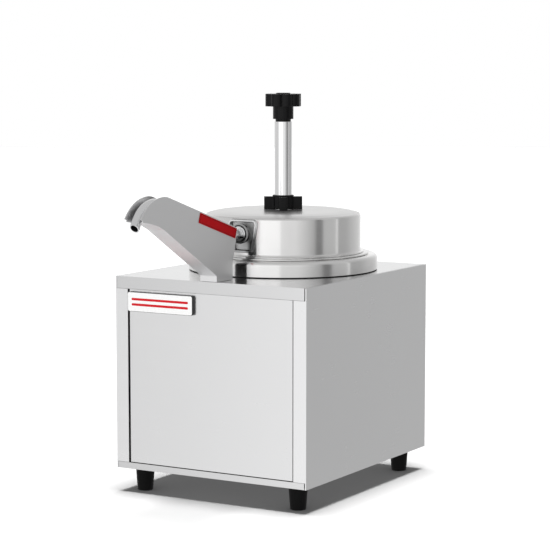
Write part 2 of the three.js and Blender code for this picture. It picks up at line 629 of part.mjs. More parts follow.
const BLOCK_BACK = -84; // y from the pump's axis
const SPIGOT_FACE = -104.4;
const SPIGOT_BORE = 4.6;
function outletBlock() {
  const plate = alongFront(outline(windowOutline(FRAME_BORDER + 0.5)), 12);
  const alongY = (radius, y0, y1) =>
    rod(radius, y0, y1, 20).rotateX(-Math.PI / 2).translate(0, 0, OUTLET_Z);
  const spigot = alongY(8, SPIGOT_FACE, BLOCK_BACK - 6);
  const bore = alongY(SPIGOT_BORE, SPIGOT_FACE - 5, BLOCK_BACK + 5);
  return cut(join(plate.translate(0, BLOCK_BACK, OUTLET_Z), spigot), bore);
}
add('outlet_block', outletBlock(), BRUSHED, 0, AXIS_Y);

// The union nut runs on the spigot and closes over the end of the discharge tube.
const NUT_BACK = -102;
const NUT_FRONT = -109;
function unionNut() {
  const wide = ring(8.3, 12.5, NUT_BACK, SPIGOT_FACE - 0.6, SMALL_ROUND);
  const lip = turned(
    [
      [6.3, SPIGOT_FACE - 0.6], [12.5, SPIGOT_FACE - 0.6], [12.5, NUT_FRONT + 1.4],
      [11, NUT_FRONT], [6.3, NUT_FRONT],
    ],
    SMALL_ROUND,
  );
  return join(wide, lip).rotateX(-Math.PI / 2).translate(0, 0, OUTLET_Z);
}
add('union_nut', unionNut(), CHROME, 0, AXIS_Y);

// The discharge tube leaves the union almost level, climbs along the channel and turns down at the tip.
// Its middle line is given in (y, z) from the front edge of the deck.
const dischargeLine = [
  [WELL_SETBACK + SPIGOT_FACE - 0.9, OUTLET_HEIGHT], [60, 53.3], [45, 56.4], [10, 66.8], [-40, 82],
  [-80, 94], [-102, 100], [-121, 101.5], [-139, 95.6], [-150.5, 85], [-156.6, 76],
];
add(
  'discharge_tube',
  along(dischargeLine.map(([y, z]) => [0, FRONT + y, DECK + z]), DISCHARGE_RADIUS, 24, 10, SPIGOT_BORE),
  CHROME,
);

// ---- Pump ---------------------------------------------------------------------------------------
const CYLINDER_TOP = DECK + 30;
const NECK_TOP = DECK + 91;
const NECK_FLANGE = LID_CROWN - LID_WALL - 3.4; // top of the flange that clamps up against the lid
const RISER_Y = -28; // riser's middle, from the pump's axis
const RISER_RADIUS = 5;

const cylinder = ring(PUMP_BORE, PUMP_OUTER, PUMP_FLOOR + GAP, CYLINDER_TOP, SMALL_ROUND);
add('pump_cylinder', cylinder, CHROME, 0, AXIS_Y);
add(
  'pump_neck',
  turned(
    [
      [TUBE_RADIUS + 0.3, CYLINDER_TOP + GAP], [PUMP_OUTER, CYLINDER_TOP + GAP],
      [PUMP_OUTER, CYLINDER_TOP + 7], [12.6, CYLINDER_TOP + 9], [12.6, NECK_FLANGE - 3],
      [21, NECK_FLANGE - 3], [21, NECK_FLANGE], [12.6, NECK_FLANGE], [12.6, NECK_TOP],
      [TUBE_RADIUS + 0.3, NECK_TOP],
    ],
    SMALL_ROUND,
  ),
  CHROME, 0, AXIS_Y,
);
const neckGasket = ring(LID_HOLE, 20, NECK_FLANGE + GAP, NECK_FLANGE + 1.6, SMALL_ROUND);
add('neck_gasket', neckGasket, SILICONE, 0, AXIS_Y);

// The valve body closes the pump's foot: food comes in from below and leaves up the riser at the front.
const VALVE_HEIGHT = 11;
function valveBody() {
  const [low, top] = [PUMP_FLOOR - VALVE_HEIGHT, PUMP_FLOOR];
  const lug = block([-8, RISER_Y - 8, low], [8, 0, top]);
  const passage = block([-3, RISER_Y, top - 8], [3, 0, top - 4]);
  const outlet = rod(4, top - 8, top + 2, 16).translate(0, RISER_Y, 0);
  return cut(join(rod(18, low, top, SMALL_ROUND), lug), rod(5, low - 1, top + 1, 16), outlet, passage);
}
add('valve_body', valveBody(), BRUSHED, 0, AXIS_Y);
add('inlet_flap', rod(4.7, PUMP_FLOOR - 2, PUMP_FLOOR - 0.8, 14), SILICONE, 0, AXIS_Y);

const riserLine = [
  [0, RISER_Y, PUMP_FLOOR + GAP], [0, RISER_Y, PUMP_FLOOR + 60], [0, RISER_Y, OUTLET_Z - 40],
  [0, RISER_Y, OUTLET_Z - 22], [0, RISER_Y - 6.5, OUTLET_Z - 6.5], [0, RISER_Y - 22, OUTLET_Z],
  [0, BLOCK_BACK + GAP, OUTLET_Z],
];
add('riser_tube', along(riserLine, RISER_RADIUS, 14, 10, 3.8), CHROME, 0, AXIS_Y);

// The collar screws down on the neck and clamps the pump to the lid. Four wings turn it by hand.
const COLLAR_NUT_BASE = DECK + 76;
const COLLAR_NUT_WINGS = DECK + 92;
const COLLAR_NUT_TOP = DECK + 94;
const WING_TURN = 30.5; // degrees, where the wings stand when the collar is tight
function lockCollar() {
  const height = COLLAR_NUT_WINGS - COLLAR_NUT_BASE;
  const wing = prism(roundedRect(48.5, 10, 2.5), height).translate(0, 0, COLLAR_NUT_BASE);
  const hub = rod(15, COLLAR_NUT_BASE, COLLAR_NUT_WINGS, SMALL_ROUND);
  const cross = join(wing, wing.clone().rotateZ(Math.PI / 2), hub);
  const boss = rod(13.5, COLLAR_NUT_WINGS - 1, COLLAR_NUT_TOP, SMALL_ROUND);
  const thread = rod(12.9, COLLAR_NUT_BASE - 1, NECK_TOP + 0.5, SMALL_ROUND);
  const bore = rod(TUBE_RADIUS + 0.4, COLLAR_NUT_BASE - 1, COLLAR_NUT_TOP + 1, SMALL_ROUND);
  return outward(cut(join(cross, boss), thread, bore).rotateZ(THREE.MathUtils.degToRad(WING_TURN)));
}
add('lock_collar', lockCollar(), BLACK_PLASTIC, 0, AXIS_Y);

// ---- Plunger ------------------------------------------------------------------------------------
const PISTON_TOP = PISTON_LOW + 14;
const PLUG_RADIUS = 9.2; // knob's and piston's stubs inside the tube
const plungerTube = ring(PLUG_RADIUS + 0.3, TUBE_RADIUS, PISTON_TOP + GAP, KNOB_BASE, SMALL_ROUND);
add('plunger_tube', plungerTube, CHROME, 0, AXIS_Y);

const KNOB_LOBES = 8;
const KNOB_TOP = KNOB_BASE + 36;
function plungerKnob() {
  const stem = turned(
    [
      [0, KNOB_BASE - 12], [PLUG_RADIUS, KNOB_BASE - 12], [PLUG_RADIUS, KNOB_BASE + GAP],
      [9.8, KNOB_BASE + GAP], [9.8, KNOB_BASE + 3], [13, KNOB_BASE + 3], [13, KNOB_BASE + 20],
      [0, KNOB_BASE + 20],
    ],
    SMALL_ROUND,
  );
  const head = prism(lobed(23, 19.5, KNOB_LOBES), 15.8).translate(0, 0, KNOB_BASE + 19);
  const disc = rod(9, KNOB_TOP - 2, KNOB_TOP, SMALL_ROUND);
  return join(stem, head, disc);
}
add('plunger_knob', plungerKnob(), BLACK_PLASTIC, 0, AXIS_Y);

add(
  'piston',
  turned(
    [
      [0, PISTON_LOW], [13.6, PISTON_LOW], [13.6, PISTON_LOW + 5], [11.6, PISTON_LOW + 5],
      [11.6, PISTON_LOW + 9], [13.6, PISTON_LOW + 9], [13.6, PISTON_TOP], [PLUG_RADIUS, PISTON_TOP],
      [PLUG_RADIUS, PISTON_TOP + 12], [0, PISTON_TOP + 12],
    ],
    SMALL_ROUND,
  ),
  WHITE_PLASTIC, 0, AXIS_Y,
);
const pistonSeal = ring(11.8, PUMP_BORE - 0.1, PISTON_LOW + 5.2, PISTON_LOW + 8.8, SMALL_ROUND);
add('piston_seal', pistonSeal, SILICONE, 0, AXIS_Y);

const SPRING_WIRE = 0.9;
const SPRING_TURNS = 8;
function returnSpring() {
  const low = PUMP_FLOOR + SPRING_WIRE + GAP;
  const high = PISTON_LOW - SPRING_WIRE - GAP;
  const perTurn = 8;
  const count = SPRING_TURNS * perTurn;
  const coil = Array.from({ length: count + 1 }, (_, i) => {
    const t = (2 * Math.PI * i) / perTurn;
    return [11 * Math.cos(t), 11 * Math.sin(t), low + ((high - low) * i) / count];
  });
  return along(coil, SPRING_WIRE, count, 4);
}
add('return_spring', returnSpring(), CHROME, 0, AXIS_Y);

export default root;
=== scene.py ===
"""The finished look of the heated food pump dispenser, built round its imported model.

Lengths here are millimetres, in the row frame, until a mesh is made. Each piece below is a fine version of
one CAD node: it rides on that node's body, stands for the node, and has a procedural material.
"""

import json
import math

import bmesh
import bpy
from mathutils import Matrix, Vector


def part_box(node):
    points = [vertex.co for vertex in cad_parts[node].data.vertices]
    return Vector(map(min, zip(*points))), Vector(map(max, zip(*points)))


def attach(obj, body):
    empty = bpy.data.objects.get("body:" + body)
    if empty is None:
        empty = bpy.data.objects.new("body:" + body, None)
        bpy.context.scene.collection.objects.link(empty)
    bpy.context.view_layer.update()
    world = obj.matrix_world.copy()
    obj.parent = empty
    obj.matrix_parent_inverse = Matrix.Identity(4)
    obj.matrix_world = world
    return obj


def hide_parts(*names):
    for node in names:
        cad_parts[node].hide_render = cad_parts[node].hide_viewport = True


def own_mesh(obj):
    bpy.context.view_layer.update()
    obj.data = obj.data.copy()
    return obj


MM = 0.001
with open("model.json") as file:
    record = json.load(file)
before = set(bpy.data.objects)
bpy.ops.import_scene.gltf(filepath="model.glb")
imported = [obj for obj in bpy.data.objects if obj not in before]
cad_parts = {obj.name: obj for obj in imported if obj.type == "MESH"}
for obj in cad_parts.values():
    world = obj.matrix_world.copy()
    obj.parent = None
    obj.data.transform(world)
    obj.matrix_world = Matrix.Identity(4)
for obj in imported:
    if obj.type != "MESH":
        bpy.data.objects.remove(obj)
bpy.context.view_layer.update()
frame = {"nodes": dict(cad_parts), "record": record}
scene = bpy.context.scene

BODY_OF = {
    node: body
    for body, nodes in frame["record"]["behaviour"]["bodies"].items()
    for node in nodes
}


# ---- Places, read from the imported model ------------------
def low(node):
    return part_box(node)[0] / MM


def high(node):
    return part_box(node)[1] / MM


def middle(node):
    return (low(node) + high(node)) / 2


DECK = high("top_deck").z
FRONT = low("front_panel").y
BACK = high("right_side_panel").y
AXIS = middle("well_collar").y
OUTLET = middle("union_nut").z
POT_BEAD = 2.2  # height of the pot's rolled rim
POT_RIM = high("food_pot").z - POT_BEAD
POT_FLOOR = low("food_pot").z
LID_BASE = low("pump_lid").z
LID_CROWN = high("pump_lid").z
NECK_TOP = high("pump_neck").z
COLLAR_NUT_BASE = low("lock_collar").z
KNOB_BASE = high("plunger_tube").z
KNOB_TOP = high("plunger_knob").z
PUMP_FLOOR = high("valve_body").z
PISTON_LOW = low("piston").z

ON_AXIS = Matrix.Translation((0, AXIS, 0))
TO_FRONT = Matrix.Rotation(math.radians(90), 4, "X")  # a piece's own +Z turned to -Y
TO_BACK = Matrix.Rotation(math.radians(-90), 4, "X")  # and to +Y
AT_OUTLET = Matrix.Translation((0, AXIS, OUTLET)) @ TO_FRONT


# ---- Materials -------------------------------------------
def add_node(tree, kind, inputs=None, **settings):
    """A shader node, with its inputs linked to sockets or set to values."""
    made = tree.nodes.new("ShaderNode" + kind)
    for key, value in settings.items():
        setattr(made, key, value)
    for key, value in (inputs or {}).items():
        if isinstance(value, bpy.types.NodeSocket):
            tree.links.new(value, made.inputs[key])
        else:
            made.inputs[key].default_value = value
    return made


class Finish:
    """A material being built: one Principled shader and the nodes that feed it."""

    def __init__(self, name, **constants):
        self.material = bpy.data.materials.new(name)
        self.material.use_nodes = True
        self.tree = self.material.node_tree
        self.tree.nodes.clear()
        output = self.tree.nodes.new("ShaderNodeOutputMaterial")
        self.shader = self.tree.nodes.new("ShaderNodeBsdfPrincipled")
        self.link(self.shader.outputs[0], output.inputs["Surface"])
        for socket, value in constants.items():
            self.shader.inputs[socket.replace("_", " ")].default_value = value
        self.place = self.node("TexCoord").outputs["Object"]

    def link(self, output, socket):
        self.tree.links.new(output, socket)

    def node(self, kind, inputs=None, **settings):
        return add_node(self.tree, kind, inputs, **settings)

    def sum(self, a, b):
        return self.node("Math", {0: a, 1: b}, operation="ADD").outputs[0]

    def times(self, a, b):
        return self.node("Math", {0: a, 1: b}, operation="MULTIPLY").outputs[0]

    def span(self, value, start, end, to_start, to_end):
        inputs = {"Value": value, "From Min": start, "From Max": end, "To Min": to_start, "To Max": to_end}
        return self.node("MapRange", inputs).outputs[0]

    def noise(self, vector, scale, detail=2.0, roughness=0.5):
        inputs = {"Vector": vector, "Scale": scale, "Detail": detail, "Roughness": roughness}
        return self.node("TexNoise", inputs).outputs[0]

    def blotches(self, scale, detail=2.0):
        return self.noise(self.place, scale, detail)

    def grain(self, scale, turn=(0, 0, 0), detail=2.0):
        """Noise drawn out into lines: scale is how fast it changes along each axis, per metre."""
        mapped = self.node("Mapping", {"Vector": self.place, "Rotation": turn, "Scale": scale})
        return self.noise(mapped.outputs[0], 1.0, detail)

    def spun_grain(self, lines, centre, axis):
        """Noise drawn out into circles round an axis, lines of it per metre across the grain."""
        moved = self.node(
            "VectorMath", {0: self.place, 1: [c * MM for c in centre]}, operation="SUBTRACT"
        )
        parts = self.node("SeparateXYZ", {0: moved.outputs[0]}).outputs
        along = parts["XYZ".index(axis)]
        u, v = (parts[i] for i in range(3) if "XYZ"[i] != axis)
        flat = self.node("CombineXYZ", {0: u, 1: v}).outputs[0]
        radius = self.node("VectorMath", {0: flat}, operation="LENGTH").outputs["Value"]
        unit = self.node("VectorMath", {0: flat}, operation="NORMALIZE").outputs[0]
        round_ = self.node("SeparateXYZ", {0: unit}).outputs
        where = self.node(
            "CombineXYZ",
            {0: self.times(radius, lines), 1: self.times(along, lines), 2: self.times(round_[0], 2.6)},
        )
        inputs = {"Vector": where.outputs[0], "W": self.times(round_[1], 2.6), "Scale": 1.0, "Detail": 2.0}
        return self.node("TexNoise", inputs, noise_dimensions="4D").outputs[0]

    def colour(self, value, dark, light):
        mixed = self.node("Mix", {"Factor": value}, data_type="RGBA")
        first, second = (s for s in mixed.inputs if s.type == "RGBA")
        first.default_value = (*dark, 1)
        second.default_value = (*light, 1)
        result = next(s for s in mixed.outputs if s.type == "RGBA")
        self.link(result, self.shader.inputs["Base Color"])
        return result

    def along(self, axis, start, end, to_start, to_end):
        """A value that changes from one place along an axis to another, both in millimetres."""
        here = self.node("SeparateXYZ", {0: self.place}).outputs["XYZ".index(axis)]
        return self.span(here, start * MM, end * MM, to_start, to_end)

    def darken(self, colour, kept):
        """Makes the base colour a share of itself, to paint shade into it."""
        shaded_colour = self.node("VectorMath", {0: colour, "Scale": kept}, operation="SCALE")
        self.link(shaded_colour.outputs[0], self.shader.inputs["Base Color"])

    def roughness(self, value):
        self.link(value, self.shader.inputs["Roughness"])

    def bump(self, height, strength, distance):
        inputs = {"Height": height, "Strength": strength, "Distance": distance * MM}
        self.link(self.node("Bump", inputs).outputs[0], self.shader.inputs["Normal"])


def tinted(colour, factor):
    return [c * factor for c in colour]


def steel(
    name, colour, roughness, grain, variation=0.012, spread=0.016, bump=0.006, painted_shade=None, **constants
):
    """Satin steel. grain(finish, share) gives its brushing; an optional painted-shade function gives the
    share of colour kept where shade is painted on.
    """
    f = Finish(name, Metallic=1.0, **constants)
    fine, coarse = grain(f, 1.0), grain(f, 0.3)
    cloud = f.blotches(9.0, 3.0)
    smudge = f.blotches(34.0, 4.0)
    lines = f.sum(f.times(fine, 0.6), f.times(coarse, 0.4))
    shade = f.sum(f.times(lines, 0.7), f.times(cloud, 0.3))
    brushed = f.colour(
        f.span(shade, 0.36, 0.64, 0.0, 1.0),
        tinted(colour, 1 - variation),
        tinted(colour, 1 + variation * 0.6),
    )
    # Painted shade: the base colour is scaled down where shade falls.
    if painted_shade:
        f.darken(brushed, painted_shade(f))
    wear = f.sum(f.span(lines, 0.35, 0.65, -spread, spread), f.span(smudge, 0.4, 0.7, -0.01, 0.015))
    f.roughness(f.sum(wear, roughness))
    f.bump(lines, bump, 0.15)
    return f.material


def walls(f, share):
    """Level brushing on upright faces."""
    return f.grain((5, 5, 3000 * share))


def across(f, share):
    """Brushing along X on the deck, its folded edge and the base."""
    return f.grain((5, 3000 * share, 3000 * share))


CHANNEL_SLOPE = math.radians(29.5)


def down_channel(f, share):
    """Brushing along the channel's slope."""
    return f.grain((3000 * share, 5, 3000 * share), turn=(CHANNEL_SLOPE, 0, 0))


def mill(f, share):
    return f.grain((900 * share, 24, 900 * share))


def spin_z(f, share):
    return f.spun_grain(2600 * share, (0, AXIS, 0), "Z")


def spin_outlet(f, share):
    return f.spun_grain(3200 * share, (0, AXIS, OUTLET), "Y")


def spin_lengthwise(f, share):
    """Drawn tube: lines that run up the tube."""
    return f.grain((2600 * share, 2600 * share, 9))


def turned_steel(name, colour, roughness, grain, anisotropy, **options):
    """Spun steel, rougher across its circular grain than along it."""
    made = steel(name, colour, roughness, grain, Anisotropic=anisotropy, **options)
    tree = made.node_tree
    shader = tree.nodes["Principled BSDF"]
    shader.inputs["Anisotropic Rotation"].default_value = 0.25
    tangent = add_node(tree, "Tangent", direction_type="RADIAL", axis="Z")
    tree.links.new(tangent.outputs[0], shader.inputs["Tangent"])
    return made


def plastic(name, colour, roughness, grit=900.0, bump=0.12, wear=1.6, shine=0.5, **constants):
    """Moulded plastic or rubber: fine grit, patchy gloss and paler worn edges."""
    f = Finish(name, Specular_IOR_Level=shine, **constants)
    grain = f.blotches(grit, 2.0)
    patches = f.blotches(26.0, 3.0)
    edge = f.span(f.node("NewGeometry").outputs["Pointiness"], 0.52, 0.60, 0.0, 0.7)
    shade = f.sum(f.span(patches, 0.35, 0.65, 0.0, 0.3), edge)
    f.colour(shade, colour, [min(1.0, c * wear + 0.004) for c in colour])
    gloss = f.sum(f.span(grain, 0.3, 0.7, -0.05, 0.05), f.span(patches, 0.35, 0.65, -0.05, 0.06))
    f.roughness(f.sum(gloss, roughness))
    f.bump(grain, bump, 0.08)
    return f.material


def shade_back_from_the_tip(f):
    """Painted shade inside the channel: full colour at its open end, darkening behind it."""
    return f.along("Y", FRONT - 125, FRONT - 95, 1.0, 0.11)


def shade_under_the_nut(f):
    """Painted shade under the nut: paler on the left, nearly black on the right."""
    return f.along("Z", OUTLET - 3, OUTLET - 11, 1.0, f.along("X", 4, 9, 1.0, 0.08))


def shade_down_the_frame(f):
    """The window's lip keeps its colour at the top and has shade painted on below in the same way."""
    return f.along("Z", OUTLET + 9, OUTLET - 7, 1.0, f.along("X", 4, 10, 0.58, 0.12))


def shade_down_the_nut(f):
    """The union is painted nearly black at its foot: painted shade."""
    return f.along("Z", OUTLET - 4, OUTLET - 11, 1.0, 0.12)


def shade_down_the_ring(f):
    """The bright ring round the tube is painted black from its middle down: painted shade."""
    return f.along("Z", OUTLET, OUTLET - 6, 1.0, 0.08)


CABINET = (0.80, 0.80, 0.805)
SPUN = (0.86, 0.855, 0.85)
cabinet_steel = steel("cabinet_steel", CABINET, 0.25, walls)
# A lighter copy of the cabinet steel for the stiles' front faces: painted light.
lit_stile_steel = steel("lit_stile_steel", tinted(CABINET, 1.07), 0.25, walls)
deck_steel = steel("deck_steel", tinted(CABINET, 0.92), 0.16, across)
channel_steel = steel(
    "channel_steel", CABINET, 0.31, down_channel, variation=0.006, spread=0.008, bump=0.002
)
spun_steel = turned_steel("spun_steel", SPUN, 0.24, spin_z, 1.0)
# The lid's top: plain brushing without the spun anisotropy, and a darker colour that is painted shade.
shaded_dome_steel = steel("shaded_dome_steel", tinted(SPUN, 0.865), 0.30, spin_z)
frame_steel = steel("frame_steel", (0.90, 0.90, 0.905), 0.12, spin_outlet, painted_shade=shade_down_the_frame)
# A rougher, darker copy of the frame's steel for the window's inner walls; the darker colour is painted
# shade.
shaded_window_steel = steel("shaded_window_steel", (0.50, 0.50, 0.50), 0.42, spin_outlet, painted_shade=shade_under_the_nut)
block_steel = steel("block_steel", (0.70, 0.70, 0.70), 0.55, spin_outlet, painted_shade=shade_under_the_nut)
nut_steel = steel("nut_steel", (0.46, 0.46, 0.46), 0.24, spin_outlet, painted_shade=shade_down_the_nut)
pot_steel = turned_steel("pot_steel", SPUN, 0.28, spin_z, 0.8, variation=0.006, spread=0.01, bump=0.002)
tube_steel = steel("tube_steel", (0.90, 0.90, 0.905), 0.13, spin_lengthwise, spread=0.02)
spout_steel = steel("spout_steel", (0.86, 0.86, 0.865), 0.24, spin_lengthwise)
outlet_steel = steel("outlet_steel", (0.88, 0.88, 0.885), 0.15, spin_outlet, painted_shade=shade_down_the_ring)
inner_steel = steel("inner_steel", (0.62, 0.61, 0.60), 0.42, mill, variation=0.08)
# A brighter copy of the channel steel: painted light at the open tip, painted shade further back.
inside_steel = steel("inside_steel", (0.88, 0.88, 0.885), 0.46, down_channel, painted_shade=shade_back_from_the_tip)
# Near black: painted shade inside the tube's mouth and in the nut's groove.
bore_shade_steel = steel("bore_shade_steel", (0.05, 0.05, 0.05), 0.40, mill, variation=0.2)
screw_steel = steel("screw_steel", (0.58, 0.58, 0.59), 0.24, spin_z, variation=0.06)
copper_alloy = steel("copper_alloy", (0.66, 0.45, 0.22), 0.30, mill, variation=0.10)
knob_black = plastic("knob_black", (0.003, 0.003, 0.0033), 0.22, wear=2.2, shine=0.14)
case_black = plastic("case_black", (0.012, 0.012, 0.013), 0.42, wear=2.0, shine=0.3)
foot_rubber = plastic("foot_rubber", (0.003, 0.003, 0.003), 0.55, grit=600.0, bump=0.2, wear=2.0, shine=0.07)
plate_white = plastic("plate_white", (0.90, 0.90, 0.895), 0.28, grit=300.0, bump=0.03, wear=1.02)
part_white = plastic("part_white", (0.82, 0.82, 0.80), 0.42, wear=1.05)
label_red = plastic("label_red", (0.37, 0.0, 0.003), 0.42, grit=500.0, bump=0.05, wear=1.1, shine=0.05)
border_red = plastic("border_red", (0.16, 0.0, 0.001), 0.42, grit=500.0, bump=0.05, wear=1.1, shine=0.05)
stripe_red = plastic("stripe_red", (0.60, 0.006, 0.012), 0.35, grit=500.0, bump=0.03, wear=1.05, shine=0.2)
rocker_red = plastic("rocker_red", (0.50, 0.012, 0.015), 0.30, wear=1.2)
silicone = plastic("silicone", (0.74, 0.71, 0.65), 0.50, grit=400.0, wear=1.05)
lamp_amber = plastic("lamp_amber", (0.85, 0.16, 0.02), 0.16, bump=0.02, wear=1.1, Transmission_Weight=0.35)


# ---- Outlines and lines ----------------------------------
def filleted(points, steps=6):
    """A closed outline with each [x, y, radius] corner rounded. A corner without a radius stays sharp."""
    rounded = []
    for i, point in enumerate(points):
        here = Vector(point[:2])
        if len(point) < 3:
            rounded.append(tuple(here))
            continue
        back = Vector(points[i - 1][:2]) - here
        ahead = Vector(points[(i + 1) % len(points)][:2]) - here
        half = back.angle(ahead) / 2
        reach = min(point[2] / math.tan(half), 0.49 * back.length, 0.49 * ahead.length)
        radius = reach * math.tan(half)
        centre = here + (back.normalized() + ahead.normalized()).normalized() * radius / math.sin(half)
        start = here + back.normalized() * reach - centre
        end = here + ahead.normalized() * reach - centre
        first = math.atan2(start.y, start.x)
        sweep = math.atan2(start.x * end.y - start.y * end.x, start.dot(end))
        for k in range(steps + 1):
            t = first + sweep * k / steps
            rounded.append((centre.x + radius * math.cos(t), centre.y + radius * math.sin(t)))
    return rounded


def rounded_rect(width, height, radius, steps=8):
    w, h = width / 2, height / 2
    return filleted([(-w, -h, radius), (w, -h, radius), (w, h, radius), (-w, h, radius)], steps)


def circle(radius, count=64, start=0.0):
    turns = (start + 2 * math.pi * i / count for i in range(count))
    return [(radius * math.cos(t), radius * math.sin(t)) for t in turns]


def bezier(a, b, c, d, count=20):
    """Points of a cubic curve after its first, as tuples."""
    a, b, c, d = (Vector(p) for p in (a, b, c, d))
    points = []
    for k in range(1, count + 1):
        t = k / count
        u = 1 - t
        points.append(tuple(a * u**3 + b * (3 * u * u * t) + c * (3 * u * t * t) + d * t**3))
    return points


def smooth_line(points, per_span=8):
    """A centripetal curve through the points, the same one that the CAD tubes follow."""
    p = [Vector(q) for q in points]
    p = [2 * p[0] - p[1], *p, 2 * p[-1] - p[-2]]
    line = []
    for a, b, c, d in zip(p, p[1:], p[2:], p[3:]):
        t0, t1, t2 = ((q - r).length ** 0.5 for q, r in ((a, b), (b, c), (c, d)))
        out = ((b - a) / t0 - (c - a) / (t0 + t1) + (c - b) / t1) * t1
        into = ((c - b) / t1 - (d - b) / (t1 + t2) + (d - c) / t2) * t1
        for k in range(per_span):
            s = k / per_span
            line.append(
                b * (2 * s**3 - 3 * s**2 + 1)
                + out * (s**3 - 2 * s**2 + s)
                + c * (3 * s**2 - 2 * s**3)
                + into * (s**3 - s**2)
            )
    return [*line, p[-2]]


# ---- Meshes ----------------------------------------------
def piece(name, vertices, faces, place=Matrix.Identity(4)):
    """An object from points in millimetres, with merged points and faces turned outwards."""
    mesh = bpy.data.meshes.new(name)
    mesh.from_pydata([(place @ Vector(v)) * MM for v in vertices], [], faces)
    made = bpy.data.objects.new(name, mesh)
    scene.collection.objects.link(made)
    tidy(made)
    return made


def tidy(obj, flatten=False):
    shape = bmesh.new()
    shape.from_mesh(obj.data)
    bmesh.ops.remove_doubles(shape, verts=shape.verts, dist=2e-6)
    if flatten:
        bmesh.ops.dissolve_limit(
            shape, angle_limit=math.radians(1), verts=shape.verts, edges=shape.edges
        )
    bmesh.ops.recalc_face_normals(shape, faces=shape.faces)
    shape.to_mesh(obj.data)
    shape.free()


def revolve(name, profile, place=ON_AXIS, segments=128):
    """A turned piece from [radius, height] points. A profile that doesn't meet the axis closes on itself."""
    vertices, rings = [], []
    for radius, height in profile:
        first = len(vertices)
        if radius < 1e-6:
            vertices.append((0, 0, height))
            rings.append([first])
        else:
            vertices += [(x, y, height) for x, y in circle(radius, segments)]
            rings.append(list(range(first, first + segments)))
    pairs = list(zip(rings, rings[1:]))
    if len(rings[0]) > 1 and len(rings[-1]) > 1:
        pairs.append((rings[-1], rings[0]))
    faces = []
    for a, b in pairs:
        for k in range(segments):
            n = (k + 1) % segments
            corners = [a[k % len(a)], a[n % len(a)], b[n % len(b)], b[k % len(b)]]
            corners = list(dict.fromkeys(corners))
            if len(corners) > 2:
                faces.append(corners)
    return piece(name, vertices, faces, place)


def extrude(name, outline, depth, place=Matrix.Identity(4), base=0.0):
    """An outline in (x, y) carried along +Z from base."""
    count = len(outline)
    vertices = [(x, y, z) for z in (base, base + depth) for x, y in outline]
    faces = [list(range(count))[::-1], list(range(count, 2 * count))]
    faces += [(i, (i + 1) % count, count + (i + 1) % count, count + i) for i in range(count)]
    return piece(name, vertices, faces, place)


# A shape drawn in (y, z) and carried along +X.
ALONG_X = Matrix(((0, 0, 1, 0), (1, 0, 0, 0), (0, 1, 0, 0), (0, 0, 0, 1)))


def sweep(name, line, radius, bore=0.0, sides=40, place=Matrix.Identity(4), cut_facing=None):
    """A round tube or rod along a line of points. cut_facing is the way its last end faces, if cut aslant."""
    line = [Vector(p) for p in line]
    tangents = [
        (line[min(i + 1, len(line) - 1)] - line[max(i - 1, 0)]).normalized() for i in range(len(line))
    ]
    across_ = tangents[0].orthogonal().normalized()
    vertices = []
    for point, tangent in zip(line, tangents):
        across_ = (across_ - tangent * across_.dot(tangent)).normalized()
        other = tangent.cross(across_)
        for r in (radius, bore) if bore else (radius,):
            vertices += [point + across_ * x + other * y for x, y in circle(r, sides)]
    step = 2 * sides if bore else sides
    if cut_facing:
        facing = Vector(cut_facing)
        for k in range(len(vertices) - step, len(vertices)):
            slant = (vertices[k] - line[-1]).dot(facing) / tangents[-1].dot(facing)
            vertices[k] = vertices[k] - tangents[-1] * slant
    last = step * (len(line) - 1)
    faces = []
    for i in range(len(line) - 1):
        for layer in range(step // sides):
            for k in range(sides):
                n = (k + 1) % sides
                a = i * step + layer * sides
                faces.append((a + k, a + n, a + step + n, a + step + k))
    if bore:
        for end in (0, last):
            for k in range(sides):
                n = (k + 1) % sides
                faces.append((end + k, end + n, end + sides + n, end + sides + k))
    else:
        faces += [list(range(sides)), list(range(last, last + sides))]
    return piece(name, vertices, faces, place)


def frame_round(name, path, section, place):
    """A closed section carried round a closed path: section is [in from the path, forward]."""
    count = len(path)
    vertices, faces = [], []
    for i in range(count):
        here, after, before = Vector(path[i]), Vector(path[(i + 1) % count]), Vector(path[i - 1])
        run = (after - before).normalized()
        inward = Vector((-run.y, run.x))
        vertices += [(*(here + inward * u), v) for u, v in section]
    size = len(section)
    for i in range(count):
        for j in range(size):
            a, b = i * size, ((i + 1) % count) * size
            m = (j + 1) % size
            faces.append((a + j, a + m, b + m, b + j))
    return piece(name, vertices, faces, place)


def surface(obj, bevel=0.0, segments=3, angle=38):
    """Smooth shading with true flats, and an optional rounding of every sharp edge."""
    obj.data.shade_smooth()
    if bevel:
        rounding = obj.modifiers.new("rounding", "BEVEL")
        rounding.width = bevel * MM
        rounding.segments = segments
        rounding.limit_method = "ANGLE"
        rounding.angle_limit = math.radians(angle)
        rounding.miter_outer = "MITER_ARC"
    else:
        obj.data.set_sharp_from_angle(angle=math.radians(angle))
    normals = obj.modifiers.new("flats", "WEIGHTED_NORMAL")
    normals.keep_sharp = True
    normals.weight = 70
    return obj


def baked(obj):
    """The object with its modifiers made part of its mesh."""
    graph = bpy.context.evaluated_depsgraph_get()
    mesh = bpy.data.meshes.new_from_object(obj.evaluated_get(graph))
    old = obj.data
    obj.modifiers.clear()
    obj.data = mesh
    bpy.data.meshes.remove(old)
    return obj


def combine(operation, obj, *tools):
    for tool in tools:
        step = obj.modifiers.new("step", "BOOLEAN")
        step.operation = operation
        step.solver = "EXACT"
        step.object = tool
        baked(obj)
        bpy.data.objects.remove(tool)
    tidy(obj, flatten=operation == "UNION")
    return obj


def cut(obj, *tools):
    return combine("DIFFERENCE", obj, *tools)


def fuse(obj, *tools):
    return combine("UNION", obj, *tools)


